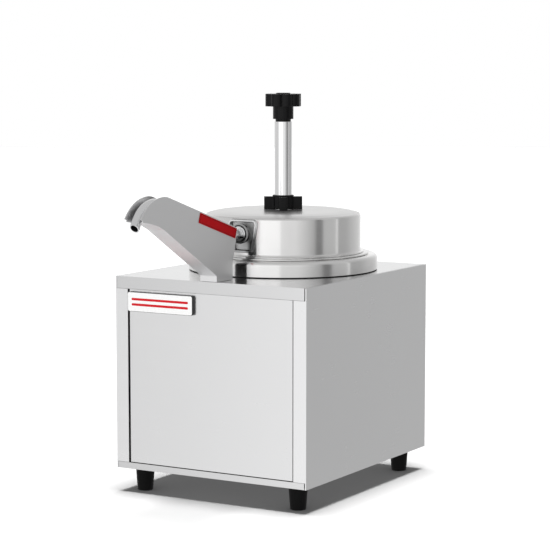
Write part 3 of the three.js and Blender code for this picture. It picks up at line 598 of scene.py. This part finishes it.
def dress(obj, node, material, bevel=0.0, segments=3, stands_in=True):
    """The finished piece: shading, material, the body it rides on, and the node that it stands for."""
    surface(obj, bevel, segments)
    obj.data.materials.clear()
    obj.data.materials.append(material)
    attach(obj, BODY_OF[node])
    if stands_in:
        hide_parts(node)
    return obj


def face_material(obj, material, chosen):
    """Gives a second material to the faces for which chosen(centre in mm, normal) is true."""
    obj.data.materials.append(material)
    index = len(obj.data.materials) - 1
    for polygon in obj.data.polygons:
        if chosen(polygon.center / MM, polygon.normal):
            polygon.material_index = index


def refined(node, material, bevel, segments=3, shift=lambda point: point):
    """A node whose shape is right, rebuilt with clean flat faces and rounded edges."""
    source = frame["nodes"][node].data
    vertices = [shift(v.co / MM) for v in source.vertices]
    made = piece(node + "_fine", vertices, [list(p.vertices) for p in source.polygons])
    tidy(made, flatten=True)
    return dress(made, node, material, bevel, segments)


def turned(node, profile, material, steps=6, place=ON_AXIS, segments=128):
    """A turned piece that stands for a node, from a profile whose corners are then rounded."""
    return dress(revolve(node + "_fine", filleted(profile, steps), place, segments), node, material)


def piped(node, line, radius, material, bevel=0.0, segments=3, **shape):
    """A tube or rod that stands for a node. The rest of its shape is as sweep takes it."""
    return dress(sweep(node + "_fine", line, radius, **shape), node, material, bevel, segments)


# ---- Cabinet ---------------------------------------------
SEAM = 1.0  # how far the deck and base stop short of the right side panel
DOOR_LIFT = 0.9  # how much of the gap over the front panel is closed
inner_right = high("top_deck").x
door_top = high("front_panel").z


def short_right(point):
    """Ends a sheet short of the right side panel, so that its seam shows."""
    return Vector((point.x - SEAM, point.y, point.z)) if point.x > inner_right - 0.1 else point


def raised(point):
    """Closes most of the gap between the front panel and the deck's folded edge."""
    return Vector((point.x, point.y, point.z + DOOR_LIFT)) if point.z > door_top - 0.1 else point


refined("back_panel", cabinet_steel, 0.55)
for side in ("left", "right"):
    panel = refined(side + "_side_panel", cabinet_steel, 0.55)
    # The front-facing stile faces get the lighter copy: painted light.
    face_material(panel, lit_stile_steel, lambda centre, normal: normal.y < -0.9)
refined("front_panel", cabinet_steel, 0.3, shift=raised)
refined("base_plate", deck_steel, 0.5, shift=short_right)
refined("top_deck", deck_steel, 0.4, shift=short_right)

plate_low, plate_high = low("nameplate"), high("nameplate")
plate_middle = middle("nameplate")
plate_size = plate_high - plate_low
plate_place = Matrix.Translation((plate_middle.x, plate_high.y, plate_middle.z)) @ TO_FRONT
dress(
    extrude("nameplate_base", rounded_rect(plate_size.x, plate_size.z, 2.5), plate_size.y - 0.3, plate_place),
    "nameplate", case_black, 0.3,
)
dress(
    extrude(
        "nameplate_face", rounded_rect(plate_size.x - 0.9, plate_size.z - 0.9, 2.1), 0.5, plate_place,
        base=plate_size.y - 0.5,
    ),
    "nameplate", plate_white, 0.15, stands_in=False,
)
for index, drop in enumerate((-3.3, 3.3)):
    stripe = plate_place @ Matrix.Translation((0, drop, plate_size.y - 0.1))
    dress(
        extrude(f"nameplate_stripe_{index + 1}", rounded_rect(82, 3.0, 1.2, 4), 0.12, stripe),
        "nameplate", stripe_red, stands_in=False,
    )


# ---- Feet and screws -------------------------------------
def recess(radius, depth, place):
    """The cross-shaped recess of a screw head, as a cutting tool. Its top is at z 0."""
    arm = radius * 0.26
    cross = [
        (arm, radius), (-arm, radius), (-arm, arm), (-radius, arm), (-radius, -arm), (-arm, -arm),
        (-arm, -radius), (arm, -radius), (arm, -arm), (radius, -arm), (radius, arm), (arm, arm),
    ]
    return extrude("recess", cross, depth + 1, place, base=-depth)


def screw(node, head_radius, shank_radius, shank, head_height, place):
    """A domed cross-head screw. Its head sits on z 0."""
    profile = filleted(
        [
            (0, -shank), (shank_radius, -shank, 0.4), (shank_radius, 0), (head_radius, 0, 0.2),
            (head_radius, head_height * 0.35, 0.9), (head_radius * 0.7, head_height * 0.86, 1.2),
            (0, head_height),
        ]
    )
    made = revolve(node + "_fine", profile, place, 40)
    cut(made, recess(head_radius * 0.55, head_height * 0.7, place @ Matrix.Translation((0, 0, head_height))))
    return dress(made, node, screw_steel)


for index in range(1, 5):
    foot = f"foot_{index}"
    centre, top = middle(foot), high(foot).z
    place = Matrix.Translation((centre.x, centre.y, 0))
    profile = [
        (5.5, 0.0, 0.4), (9.75, 0, 1.3), (11.6, top - 3.4, 0.8), (12, top - 2.8, 0.5), (12, top, 0.3),
        (2.8, top), (2.8, 10), (5.5, 10, 0.3),
    ]
    turned(foot, profile, foot_rubber, 5, place, 72)
    head = f"foot_screw_{index}"
    flipped = Matrix.Translation((centre.x, centre.y, low(head).z + 3.8)) @ Matrix.Rotation(math.pi, 4, "X")
    screw(head, 4.6, 2.4, high(head).z - low(head).z - 3.8, 3.8, flipped)

for side in ("left", "right"):
    for index in (1, 2):
        head = f"panel_screw_{side}_{index}"
        spot = middle(head)
        place = Matrix.Translation((spot.x, BACK + 0.2, spot.z)) @ TO_BACK
        screw(head, 3.9, 1.8, 8, 2.1, place)

for index in (1, 2):
    head = f"channel_screw_{index}"
    spot = middle(head)
    screw(head, 3.8, 2.0, 10, 2.2, Matrix.Translation((spot.x, spot.y, DECK + 1.9)))


# ---- Well, collar and pot --------------------------------
SHEET = 1.5
WELL_RADIUS = 103
COLLAR_RADIUS = 120
POT_RADIUS = 98
ROUND = 192  # segments of the large turned pieces
well_floor = low("heating_well").z
well_inside = WELL_RADIUS - SHEET
well_profile = [
    (0, well_floor), (WELL_RADIUS, well_floor, 8), (WELL_RADIUS, DECK + 0.2, 1.0),
    (WELL_RADIUS + 10, DECK + 0.2), (WELL_RADIUS + 10, DECK + 1.4, 0.4), (well_inside, DECK + 1.4, 1.4),
    (well_inside, well_floor + SHEET, 7), (0, well_floor + SHEET),
]
turned("heating_well", well_profile, inner_steel)

collar_top = high("well_collar").z
collar_inside = COLLAR_RADIUS - SHEET
collar_profile = [
    (COLLAR_RADIUS, DECK + 1.0, 0.4), (COLLAR_RADIUS, collar_top, 5.4), (105, collar_top, 0.7),
    (105, collar_top - SHEET, 0.4), (collar_inside, collar_top - SHEET, 4), (collar_inside, DECK + 1.0, 0.4),
]
turned("well_collar", collar_profile, spun_steel, 12, segments=ROUND)
# A black rubber seal under the collar; being black, it also paints the shadow line at the collar's foot.
seal_profile = [
    (117.8, DECK + 0.1, 0.2), (119.3, DECK + 0.1, 0.2), (119.3, DECK + 1.0), (117.8, DECK + 1.0),
]
dress(
    revolve("collar_seal", filleted(seal_profile, 3), segments=ROUND),
    "well_collar", foot_rubber, stands_in=False,
)

pot_inside = POT_RADIUS - SHEET
pot_profile = [
    (0, POT_FLOOR), (POT_RADIUS, POT_FLOOR, 11), (POT_RADIUS, POT_RIM, 1.2), (107.2, POT_RIM, 0.6),
    (108.5, POT_RIM + 0.4, 0.6), (108.5, POT_RIM + 1.8, 0.6), (107.2, POT_RIM + POT_BEAD, 0.6),
    (99.4, POT_RIM + POT_BEAD, 1.0), (pot_inside, POT_RIM + 0.4, 1.6), (pot_inside, POT_FLOOR + SHEET, 9.5),
    (0, POT_FLOOR + SHEET),
]
turned("food_pot", pot_profile, pot_steel, 8, segments=ROUND)

# ---- Under the well --------------------------------------
ELEMENT_RADIUS = 62
element_z = high("heating_element").z - 4
turns = [math.radians(100 + 340 * k / 24) for k in range(25)]
loop = [(ELEMENT_RADIUS * math.cos(t), ELEMENT_RADIUS * math.sin(t), 0) for t in turns]
cold_in = [(loop[0][0], loop[0][1] + 9, -16), (loop[0][0], loop[0][1] + 7, -5)]
cold_out = [(loop[-1][0], loop[-1][1] + 7, -5), (loop[-1][0], loop[-1][1] + 9, -16)]
piped(
    "heating_element", smooth_line([*cold_in, *loop, *cold_out], 4), 4, inner_steel, 0.6,
    sides=24, place=Matrix.Translation((0, AXIS, element_z)),
)
refined("element_clamp_bar", inner_steel, 0.4)
refined("clamp_bolt", screw_steel, 0.3)
bulb_low, bulb_high = low("thermostat_bulb"), high("thermostat_bulb")
bulb = middle("thermostat_bulb")
bulb_line = [(bulb_low.x, bulb.y, bulb.z), (bulb_high.x, bulb.y, bulb.z)]
piped("thermostat_bulb", bulb_line, 3, copper_alloy, 1.2, 5, sides=28)
refined("high_limit_cutout", case_black, 0.5)

knob = middle("thermostat_knob")
capillary = [
    (34.6, bulb.y, bulb.z), (42, bulb.y, bulb.z - 3), (56, bulb.y + 6, 50), (knob.x, bulb.y + 30, 48),
    (knob.x, BACK - 34, 62), (knob.x, BACK - 24, 100), (knob.x, BACK - 19.7, 140),
    (knob.x, BACK - 19.7, low("thermostat_body").z - 0.2),
]
piped("capillary_tube", smooth_line(capillary), 0.9, copper_alloy, sides=14)

# ---- Controls on the back --------------------------------
refined("thermostat_body", case_black, 0.6)
at_knob = Matrix.Translation((knob.x, BACK, knob.z)) @ TO_BACK
dial_profile = [(6, 0.2), (25, 0.2), (25, 1.2, 0.4), (6, 1.2, 0.2)]
turned("thermostat_dial", dial_profile, part_white, place=at_knob, segments=96)

marks = []
for k in range(11):
    turn = math.radians(-225 + 27 * k)
    length = 3.4 if k % 5 == 0 else 2.2
    spot = at_knob @ Matrix.Rotation(turn, 4, "Z") @ Matrix.Translation((23.6 - length / 2, 0, 1.15))
    marks.append(extrude("mark", rounded_rect(length, 0.7, 0.3, 3), 0.12, spot))
for extra in marks[1:]:
    fuse(marks[0], extra)
marks[0].name = "dial_marks"
dress(marks[0], "thermostat_dial", case_black, stands_in=False)

reach = high("thermostat_knob").y - BACK
skirt_profile = [
    (0, reach - 3.5), (3.3, reach - 3.5), (3.3, 1.6), (19, 1.6, 0.4), (19, 4.4, 1.4), (12, 7.4, 2),
    (0, 7.4),
]
skirt = revolve("thermostat_knob_fine", filleted(skirt_profile), at_knob, 96)
flutes = 16
grip = [
    (r * math.cos(t), r * math.sin(t))
    for t, r in (
        (2 * math.pi * k / (flutes * 8), 14.6 - 0.7 * (0.5 + 0.5 * math.cos(2 * math.pi * k / 8)) ** 2)
        for k in range(flutes * 8)
    )
]
fuse(skirt, extrude("grip", grip, reach - 6.7, at_knob, base=6.4))
dress(skirt, "thermostat_knob", case_black, 0.7)
at_lowest_mark = Matrix.Rotation(math.radians(45), 4, "Z")
pointer = at_knob @ at_lowest_mark @ Matrix.Translation((0, 8.4, reach - 0.4))
dress(
    extrude("knob_pointer", rounded_rect(1.8, 7.5, 0.6, 4), 0.3, pointer),
    "thermostat_knob", part_white, stands_in=False,
)

refined("switch_frame", case_black, 0.5)
refined("power_rocker", rocker_red, 0.5)
lamp = middle("indicator_lamp")
at_lamp = Matrix.Translation((lamp.x, BACK, lamp.z)) @ TO_BACK
lamp_profile = [
    (0, -14), (5, -14, 0.5), (5, 0.2), (7.5, 0.2, 0.2), (7.5, 1.6, 0.8), (5.4, 2.2, 0.3),
    (5, 4.4, 1.4), (0, 5.6),
]
turned("indicator_lamp", lamp_profile, lamp_amber, place=at_lamp, segments=64)
refined("power_inlet", case_black, 0.5)
refined("terminal_block", part_white, 0.5)

# ---- Heated channel --------------------------------------
# Its side is drawn in (y, z) from the front edge of the deck, as in the CAD.
channel_low, channel_high = low("spout_channel"), high("spout_channel")
channel_width = channel_high.x - channel_low.x
channel_place = Matrix.Translation((channel_low.x, FRONT, DECK)) @ ALONG_X
side_outline = [
    (36.7, 0.2), (0, 0.2, 0.6), (0, 8, 2.5), (-45.6, 33.4, 30), (-112.8, 71.4, 30), (-126, 77, 20),
    (-140.5, 80.6, 20), (-162, 83.8, 1.2),
]
side_outline = filleted(side_outline + [(0, 120)], 5)[:-1]
side_outline += bezier((-162, 83.8), (-154, 96), (-138, 109.8), (-112, 109.8), 28)[1:]
side_outline += bezier((-112, 109.8), (-107, 109.8), (-103, 108.4), (-98, 106.9), 8)
side_outline += [(47.3, 62.4)]
side_outline += bezier((47.3, 62.4), (45, 51), (44, 39), (36.7, 22.6), 16)
cavity_outline = filleted(
    [
        (60, 1.7), (SHEET, 1.7), (SHEET, 8.9, 1.5), (-44.9, 34.7, 30), (-112, 72.7, 30), (-125.4, 78.4, 20),
        (-140.1, 82.1), (-143, 82.8), (-143, 60), (-190, 60), (-190, 140), (60, 140),
    ],
    5,
)
channel = extrude("spout_channel_fine", side_outline, channel_width, channel_place)
cavity = extrude("cavity", cavity_outline, channel_width - 2 * SHEET, channel_place, base=SHEET)
drills = [
    revolve(
        "drill", [(0, -3), (2.3, -3), (2.3, 5), (0, 5)],
        Matrix.Translation((0, middle(f"channel_screw_{k}").y, DECK)), 32,
    )
    for k in (1, 2)
]
cut(channel, cavity, *drills)
tidy(channel, flatten=True)
dress(channel, "spout_channel", channel_steel, 0.4)
inner_half = channel_width / 2 - SHEET + 0.1


def in_channel(centre, normal):
    return abs(centre.x) < inner_half and (abs(normal.x) > 0.5 or normal.z > 0.3 or normal.y > 0.5)


# The inner faces get the copy with painted light at the tip and painted shade behind it.
face_material(channel, inside_steel, in_channel)
refined("spout_heater", case_black, 0.6)

label_low = low("hot_label")
label_place = Matrix.Translation((label_low.x, FRONT, DECK)) @ ALONG_X
label_outline = filleted([(-36, 86.4, 0.9), (46, 61.4, 0.9), (42.2, 49.6, 0.9), (-39.8, 74.6, 0.9)], 5)
dress(extrude("hot_label_fine", label_outline, 0.34, label_place), "hot_label", label_red, 0.1)
border = filleted([(-34.6, 84.7, 0.8), (44.5, 60.6, 0.8), (41.3, 51.1, 0.8), (-37.8, 75.2, 0.8)], 5)
dress(
    frame_round("hot_label_border", border[::-1], [(0, 0.3), (0, 0.4), (0.7, 0.4), (0.7, 0.3)], label_place),
    "hot_label", border_red, stands_in=False,
)

# ---- Lid and outlet --------------------------------------
LID_RADIUS = 98.5
LID_HOLE = 12.9
LID_RISE = 4.2
LID_WALL = 1.5
shoulder_z = LID_CROWN - LID_RISE


def window_outline(inset, steps=8):
    """The outline of the lid's window, narrowing downwards, drawn from the union's middle."""
    wide, narrow, top, foot = 14, 9, 10.8, -18
    lean = math.atan2(wide - narrow, top - foot)
    quarter = math.pi / 2
    corners = [
        (narrow, foot, -quarter, -lean), (wide, top, -lean, quarter), (-wide, top, quarter, math.pi + lean),
        (-narrow, foot, math.pi + lean, 3 * quarter),
    ]
    points = []
    for x, z, start, end in corners:
        for k in range(steps + 1):
            t = start + (end - start) * k / steps
            points.append((x + (6 - inset) * math.cos(t), z + (6 - inset) * math.sin(t)))
    return points


dome = [
    (LID_RADIUS - 10.5, shoulder_z + 1.9, 20), (LID_RADIUS - 21.5, shoulder_z + 3.5, 40),
    (LID_RADIUS - 38.5, shoulder_z + 3.9, 60),
]
under_dome = [(r, z - LID_WALL, bend) for r, z, bend in dome[::-1]]
lid = revolve(
    "pump_lid_fine",
    filleted(
        [
            (LID_RADIUS + 4, LID_BASE, 0.3), (LID_RADIUS + 4, LID_BASE + 1.3, 0.5),
            (LID_RADIUS + 0.9, LID_BASE + 1.7, 0.9), (LID_RADIUS, LID_BASE + 3.6, 1.2),
            (LID_RADIUS, shoulder_z - 0.75, 3.4), *dome, (LID_HOLE, LID_CROWN, 0.4),
            (LID_HOLE, LID_CROWN - LID_WALL, 0.3), *under_dome,
            (LID_RADIUS - LID_WALL, shoulder_z - 0.75 - LID_WALL, 2), (LID_RADIUS - LID_WALL, LID_BASE, 0.3),
        ],
        12,
    ),
    segments=224,
)
cut(lid, extrude("window", window_outline(-0.3), 60, AT_OUTLET, base=70))
dress(lid, "pump_lid", spun_steel)
# Upward faces of the lid get the darker copy: painted shade on the top.
face_material(lid, shaded_dome_steel, lambda c, n: n.z > 0.85 and c.z > shoulder_z - 1)

gasket_low, gasket_high = low("lid_gasket").z, high("lid_gasket").z
gasket_profile = [
    (92.5, gasket_low, 1), (96.1, gasket_low, 1), (96.1, gasket_high, 0.8), (92.5, gasket_high, 0.8),
]
turned("lid_gasket", gasket_profile, silicone)

window_front = AXIS - low("outlet_frame").y
window_back = AXIS - high("outlet_frame").y
lip = filleted(
    [
        (0, window_back), (0, window_front - 1.2, 0.6), (0.9, window_front, 1.4), (2.4, window_front, 1.2),
        (3, window_front - 1.6, 0.8), (3, window_back),
    ],
    5,
)
window_frame = frame_round("outlet_frame_fine", window_outline(0, 10), lip, AT_OUTLET)
dress(window_frame, "outlet_frame", frame_steel)


def looks_inwards(centre, normal):
    """True on the frame's faces that look towards the middle of the window."""
    return abs(normal.y) < 0.5 and normal.x * centre.x + normal.z * (centre.z - OUTLET + 3) < 0


# The frame's inward faces get the darker copy: painted shade in the window.
face_material(window_frame, shaded_window_steel, looks_inwards)

block = extrude("outlet_block_fine", window_outline(3.5), 12, AT_OUTLET, base=84)
TUBE_BORE = 4.6
spigot = [
    (TUBE_BORE, 86), (8, 86), (8, 99, 0.4), (7.4, 99.6, 0.3), (8, 100.2, 0.4), (8, 104.4, 0.4),
    (TUBE_BORE, 104.4, 0.2),
]
block_bore = revolve("bore", [(0, 70), (TUBE_BORE, 70), (TUBE_BORE, 120), (0, 120)], AT_OUTLET, 48)
fuse(block, revolve("spigot", filleted(spigot, 4), AT_OUTLET, 64))
cut(block, block_bore)
dress(block, "outlet_block", block_steel, 0.5)

nut_front = AXIS - low("union_nut").y
nut_back = AXIS - high("union_nut").y
nut_profile = [
    (8.3, nut_back), (12.1, nut_back, 0.4), (12.5, nut_back + 1.0, 0.4), (12.5, nut_front - 1.9, 0.5),
    (11.4, nut_front - 0.5, 0.4), (10.6, nut_front - 0.5, 0.3), (10.3, nut_front - 1.5, 0.25),
    (9.5, nut_front - 1.5, 0.25), (9.1, nut_front, 0.4), (7.9, nut_front, 0.4), (7.7, nut_front - 0.9, 0.2),
    (6.3, nut_front - 0.9, 0.2), (6.3, nut_front - 4.1), (8.3, nut_front - 4.1),
]
nut = turned("union_nut", nut_profile, nut_steel, 4, AT_OUTLET, 96)


def from_bore(centre):
    """How far a point is from the outlet's middle line."""
    return math.hypot(centre.x, centre.z - OUTLET)


RING_RADIUS = 9.2
GROOVE_RADIUS = 10.8
face_material(nut, outlet_steel, lambda centre, normal: from_bore(centre) < RING_RADIUS)
face_material(nut, bore_shade_steel, lambda centre, normal: RING_RADIUS < from_bore(centre) < GROOVE_RADIUS)

# The middle line of the discharge tube, in (y, z) from the front edge of the deck.
discharge = [
    (AXIS - FRONT - 105.3, OUTLET - DECK), (60, 53.3), (45, 56.4), (10, 66.8), (-40, 82), (-80, 94),
    (-102, 100), (-121, 101.5), (-139, 95.6), (-150.5, 85), (-156.6, 76),
]
TUBE_RADIUS = 6
tube_line = smooth_line([(0, FRONT + y, DECK + z) for y, z in discharge])
tube = piped(
    "discharge_tube", tube_line, TUBE_RADIUS, spout_steel, 0.25,
    bore=TUBE_BORE, sides=48, cut_facing=(0, -0.80, -0.60),
)
tube_end = tube_line[-30:]


def in_the_mouth(centre, normal):
    """True on the faces of the bore near the tube's open end."""
    return min((centre - point).length for point in tube_end) < TUBE_RADIUS - 1


face_material(tube, bore_shade_steel, in_the_mouth)

# ---- Pump ------------------------------------------------
cylinder_low, cylinder_high = low("pump_cylinder").z, high("pump_cylinder").z
cylinder_profile = [
    (14, cylinder_low, 0.3), (16.5, cylinder_low, 0.8), (16.5, cylinder_high, 0.8), (14, cylinder_high, 0.3),
]
turned("pump_cylinder", cylinder_profile, tube_steel, segments=96)

neck_low = low("pump_neck").z
flange_z = LID_CROWN - 4.9
thread = []
z = NECK_TOP - 1.2
while z > flange_z + 8:
    thread += [(12.6, z), (12.05, z - 0.6)]
    z -= 1.2
neck_profile = [
    (11.3, neck_low), (16.5, neck_low, 0.5), (16.5, neck_low + 7, 1), (12.6, neck_low + 9, 0.8),
    (12.6, flange_z - 3), (21, flange_z - 3, 0.5), (21, flange_z, 0.5), (12.6, flange_z),
    *thread[::-1], (12.2, NECK_TOP, 0.3), (11.3, NECK_TOP, 0.3),
]
turned("pump_neck", neck_profile, tube_steel, 3, segments=96)
refined("neck_gasket", silicone, 0.3)
refined("valve_body", inner_steel, 0.6)
refined("inlet_flap", silicone, 0.2)

riser = [
    (0, -28, PUMP_FLOOR + 0.2), (0, -28, PUMP_FLOOR + 60), (0, -28, OUTLET - 40), (0, -28, OUTLET - 22),
    (0, -34.5, OUTLET - 6.5), (0, -50, OUTLET), (0, -83.8, OUTLET),
]
piped("riser_tube", smooth_line(riser), 5, tube_steel, 0.2, bore=3.8, sides=36, place=ON_AXIS)

WING_TURN = math.radians(30.5)
wings = []
for quarter in range(4):
    turn = quarter * math.pi / 2
    for x, y, r in ((24.25, -5, 2.2), (24.25, 5, 2.2), (11.5, 5, 3.4), (10.6, 10.6, 6.0), (5, 11.5, 3.4)):
        wings.append((x * math.cos(turn) - y * math.sin(turn), x * math.sin(turn) + y * math.cos(turn), r))
wings_top = COLLAR_NUT_BASE + 16
at_collar = ON_AXIS @ Matrix.Rotation(WING_TURN, 4, "Z")
collar = extrude("lock_collar_fine", filleted(wings, 5), 16, at_collar, base=COLLAR_NUT_BASE)
boss = [(0, wings_top - 4), (13.5, wings_top - 4), (13.5, wings_top + 2, 0.7), (0, wings_top + 2)]
fuse(collar, revolve("boss", filleted(boss, 4), at_collar, 72))
bore = [(0, COLLAR_NUT_BASE - 2), (12.9, COLLAR_NUT_BASE - 2), (12.9, NECK_TOP + 0.5), (11.4, NECK_TOP + 1)]
cut(collar, revolve("bore", [*bore, (11.4, wings_top + 4), (0, wings_top + 4)], at_collar, 64))
dress(collar, "lock_collar", knob_black, 0.7, 3)

# ---- Plunger ---------------------------------------------
tube_low = low("plunger_tube").z
tube_profile = [(9.5, tube_low), (11, tube_low, 0.4), (11, KNOB_BASE, 0.5), (9.5, KNOB_BASE, 0.2)]
turned("plunger_tube", tube_profile, tube_steel, segments=96)

LOBES = 8
PER_LOBE = 20


def lobe(turn):
    swell = abs(math.cos(LOBES * turn / 2)) ** 0.7
    return 19.5 + 3.5 * swell


turns = [2 * math.pi * k / (LOBES * PER_LOBE) for k in range(LOBES * PER_LOBE)]
head = extrude(
    "plunger_knob_fine", [(lobe(t) * math.cos(t), lobe(t) * math.sin(t)) for t in turns], 15.8, ON_AXIS,
    base=KNOB_BASE + 19,
)
hub = filleted(
    [
        (0, KNOB_BASE - 12), (9.2, KNOB_BASE - 12, 0.5), (9.2, KNOB_BASE + 0.2), (9.8, KNOB_BASE + 0.2),
        (9.8, KNOB_BASE + 3, 0.4), (13, KNOB_BASE + 3, 0.7), (13, KNOB_BASE + 20), (0, KNOB_BASE + 20),
    ],
    4,
)
fuse(head, revolve("hub", hub, ON_AXIS, 72))
cap = filleted([(0, KNOB_TOP - 3), (9, KNOB_TOP - 3), (9, KNOB_TOP, 0.6), (0, KNOB_TOP)], 4)
fuse(head, revolve("cap", cap, ON_AXIS, 64))
dress(head, "plunger_knob", knob_black, 0.6)

piston_top = PISTON_LOW + 14
piston = [
    (0, PISTON_LOW), (13.6, PISTON_LOW, 0.6), (13.6, PISTON_LOW + 5, 0.3), (11.6, PISTON_LOW + 5, 0.3),
    (11.6, PISTON_LOW + 9, 0.3), (13.6, PISTON_LOW + 9, 0.3), (13.6, piston_top, 0.6),
    (9.2, piston_top, 0.5), (9.2, piston_top + 12, 0.6), (0, piston_top + 12),
]
turned("piston", piston, part_white, 4, segments=80)
refined("piston_seal", silicone, 0.4)

SPRING_WIRE = 0.9
SPRING_RADIUS = 11
SPRING_TURNS = 8
PER_TURN = 28
spring_low = PUMP_FLOOR + SPRING_WIRE + 0.2
spring_high = PISTON_LOW - SPRING_WIRE - 0.2
spring_length = spring_high - spring_low
count = SPRING_TURNS * PER_TURN
coil = [
    (
        SPRING_RADIUS * math.cos(2 * math.pi * k / PER_TURN),
        SPRING_RADIUS * math.sin(2 * math.pi * k / PER_TURN),
        spring_low + spring_length * k / count,
    )
    for k in range(count + 1)
]
spring = piped("return_spring", coil, SPRING_WIRE, screw_steel, sides=12, place=ON_AXIS)
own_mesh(spring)


# ---- Studio ----------------------------------------------
floor_finish = Finish("floor_paper", Metallic=0.0)
floor_finish.colour(floor_finish.blotches(3.0), (0.247, 0.247, 0.247), (0.253, 0.253, 0.253))
floor_finish.roughness(floor_finish.span(floor_finish.blotches(40.0), 0.3, 0.7, 0.85, 0.95))
floor_finish.shader.inputs["Specular IOR Level"].default_value = 0.0
floor = extrude("floor", circle(9000, 96), 2, base=-2)
floor.data.materials.append(floor_finish.material)
floor.visible_glossy = False
floor.visible_shadow = False

# The floor's own light comes from above, so that the shadow under the object stays close and soft.
ceiling = bpy.data.lights.new("ceiling", "SUN")
ceiling.energy = 13.3
ceiling.angle = math.radians(22)
ceiling_light = bpy.data.objects.new("ceiling", ceiling)
scene.collection.objects.link(ceiling_light)
lit = bpy.data.collections.new("lit_by_ceiling")
lit.objects.link(floor)
ceiling_light.light_linking.receiver_collection = lit

paper = Finish("backdrop_paper", Roughness=1.0, Emission_Strength=1.0)
paper.shader.inputs["Base Color"].default_value = (0, 0, 0, 1)
paper.shader.inputs["Specular IOR Level"].default_value = 0.0
paper.shader.inputs["Emission Color"].default_value = (1, 1, 1, 1)
paper.material.cycles.emission_sampling = "NONE"
wall = [(8900, -20), (8900, 6000), (0, 9000), (0, 9100), (9000, 6100), (9000, -20)]
backdrop = revolve("backdrop", wall, Matrix.Identity(4), 96)
backdrop.data.materials.append(paper.material)
for ray in ("diffuse", "glossy", "transmission", "shadow"):
    setattr(backdrop, "visible_" + ray, False)

YAW = math.radians(30.364)
PITCH = math.radians(6.331)

# The light is a soft studio all round: how bright it is at each bearing, in degrees from the camera's side
# of the object and positive to the camera's right.
BEARINGS = [
    (-180, 0.96), (-150, 0.80), (-125, 0.68), (-80, 0.64), (-68, 0.72), (-62, 0.88), (-56, 1.16), (-46, 1.22),
    (-5, 1.20), (-3, 0.90), (18, 0.86), (47, 0.40), (51, 0.16), (59, 0.16), (63, 0.48), (85, 0.50),
    (86, 0.95), (88, 0.95), (89, 0.38), (108, 0.42), (125, 0.54), (150, 0.66), (170, 0.90), (180, 0.96),
]
world = bpy.data.worlds.new("studio_light")
scene.world = world
world.use_nodes = True
world.node_tree.nodes.clear()


def world_node(kind, inputs=None, **settings):
    return add_node(world.node_tree, kind, inputs, **settings)


def heading_towards(direction):
    """How far the light's heading points along a level direction."""
    inputs = {0: heading, 1: direction}
    return world_node("VectorMath", inputs, operation="DOT_PRODUCT").outputs["Value"]


heading = world_node("TexCoord").outputs["Generated"]
to_camera = (math.sin(YAW), -math.cos(YAW), 0)
to_right = (math.cos(YAW), math.sin(YAW), 0)
inputs = {0: heading_towards(to_right), 1: heading_towards(to_camera)}
bearing = world_node("Math", inputs, operation="ARCTAN2").outputs[0]
share = world_node("MapRange", {"Value": bearing, "From Min": -math.pi, "From Max": math.pi}).outputs[0]
ramp = world_node("ValToRGB", {0: share})
stops = ramp.color_ramp.elements
for k, (degrees, level) in enumerate(BEARINGS):
    at = (degrees + 180) / 360
    stop = stops[k] if k < 2 else stops.new(at)
    stop.position = at
    stop.color = (level, level, level, 1)
rise = world_node("SeparateXYZ", {0: heading}).outputs[2]
HIGH_LEVEL = 0.56
LOW_LEVEL = 0.84
level = ramp.outputs[0]
for target, start, end in ((HIGH_LEVEL, 0.36, 0.66), (LOW_LEVEL, -0.3, -0.6)):
    fade = world_node("MapRange", {"Value": rise, "From Min": start, "From Max": end})
    mix = world_node("Mix", {"Factor": fade.outputs[0]}, data_type="RGBA")
    a, b = (s for s in mix.inputs if s.type == "RGBA")
    world.node_tree.links.new(level, a)
    b.default_value = (target, target, target, 1)
    level = next(s for s in mix.outputs if s.type == "RGBA")
glow = world_node("Background", {"Color": level, "Strength": 1.0})
world_node("OutputWorld", {"Surface": glow.outputs[0]})

camera_data = bpy.data.cameras.new("camera")
camera_data.lens = 133.6
camera_data.sensor_width = 36
camera = bpy.data.objects.new("camera", camera_data)
camera.location = (1.2993, -2.1478, 0.5485)
camera.rotation_euler = (math.pi / 2 - PITCH, 0, YAW)
scene.collection.objects.link(camera)
scene.camera = camera
scene.view_settings.view_transform = "Standard"
scene.view_settings.look = "None"
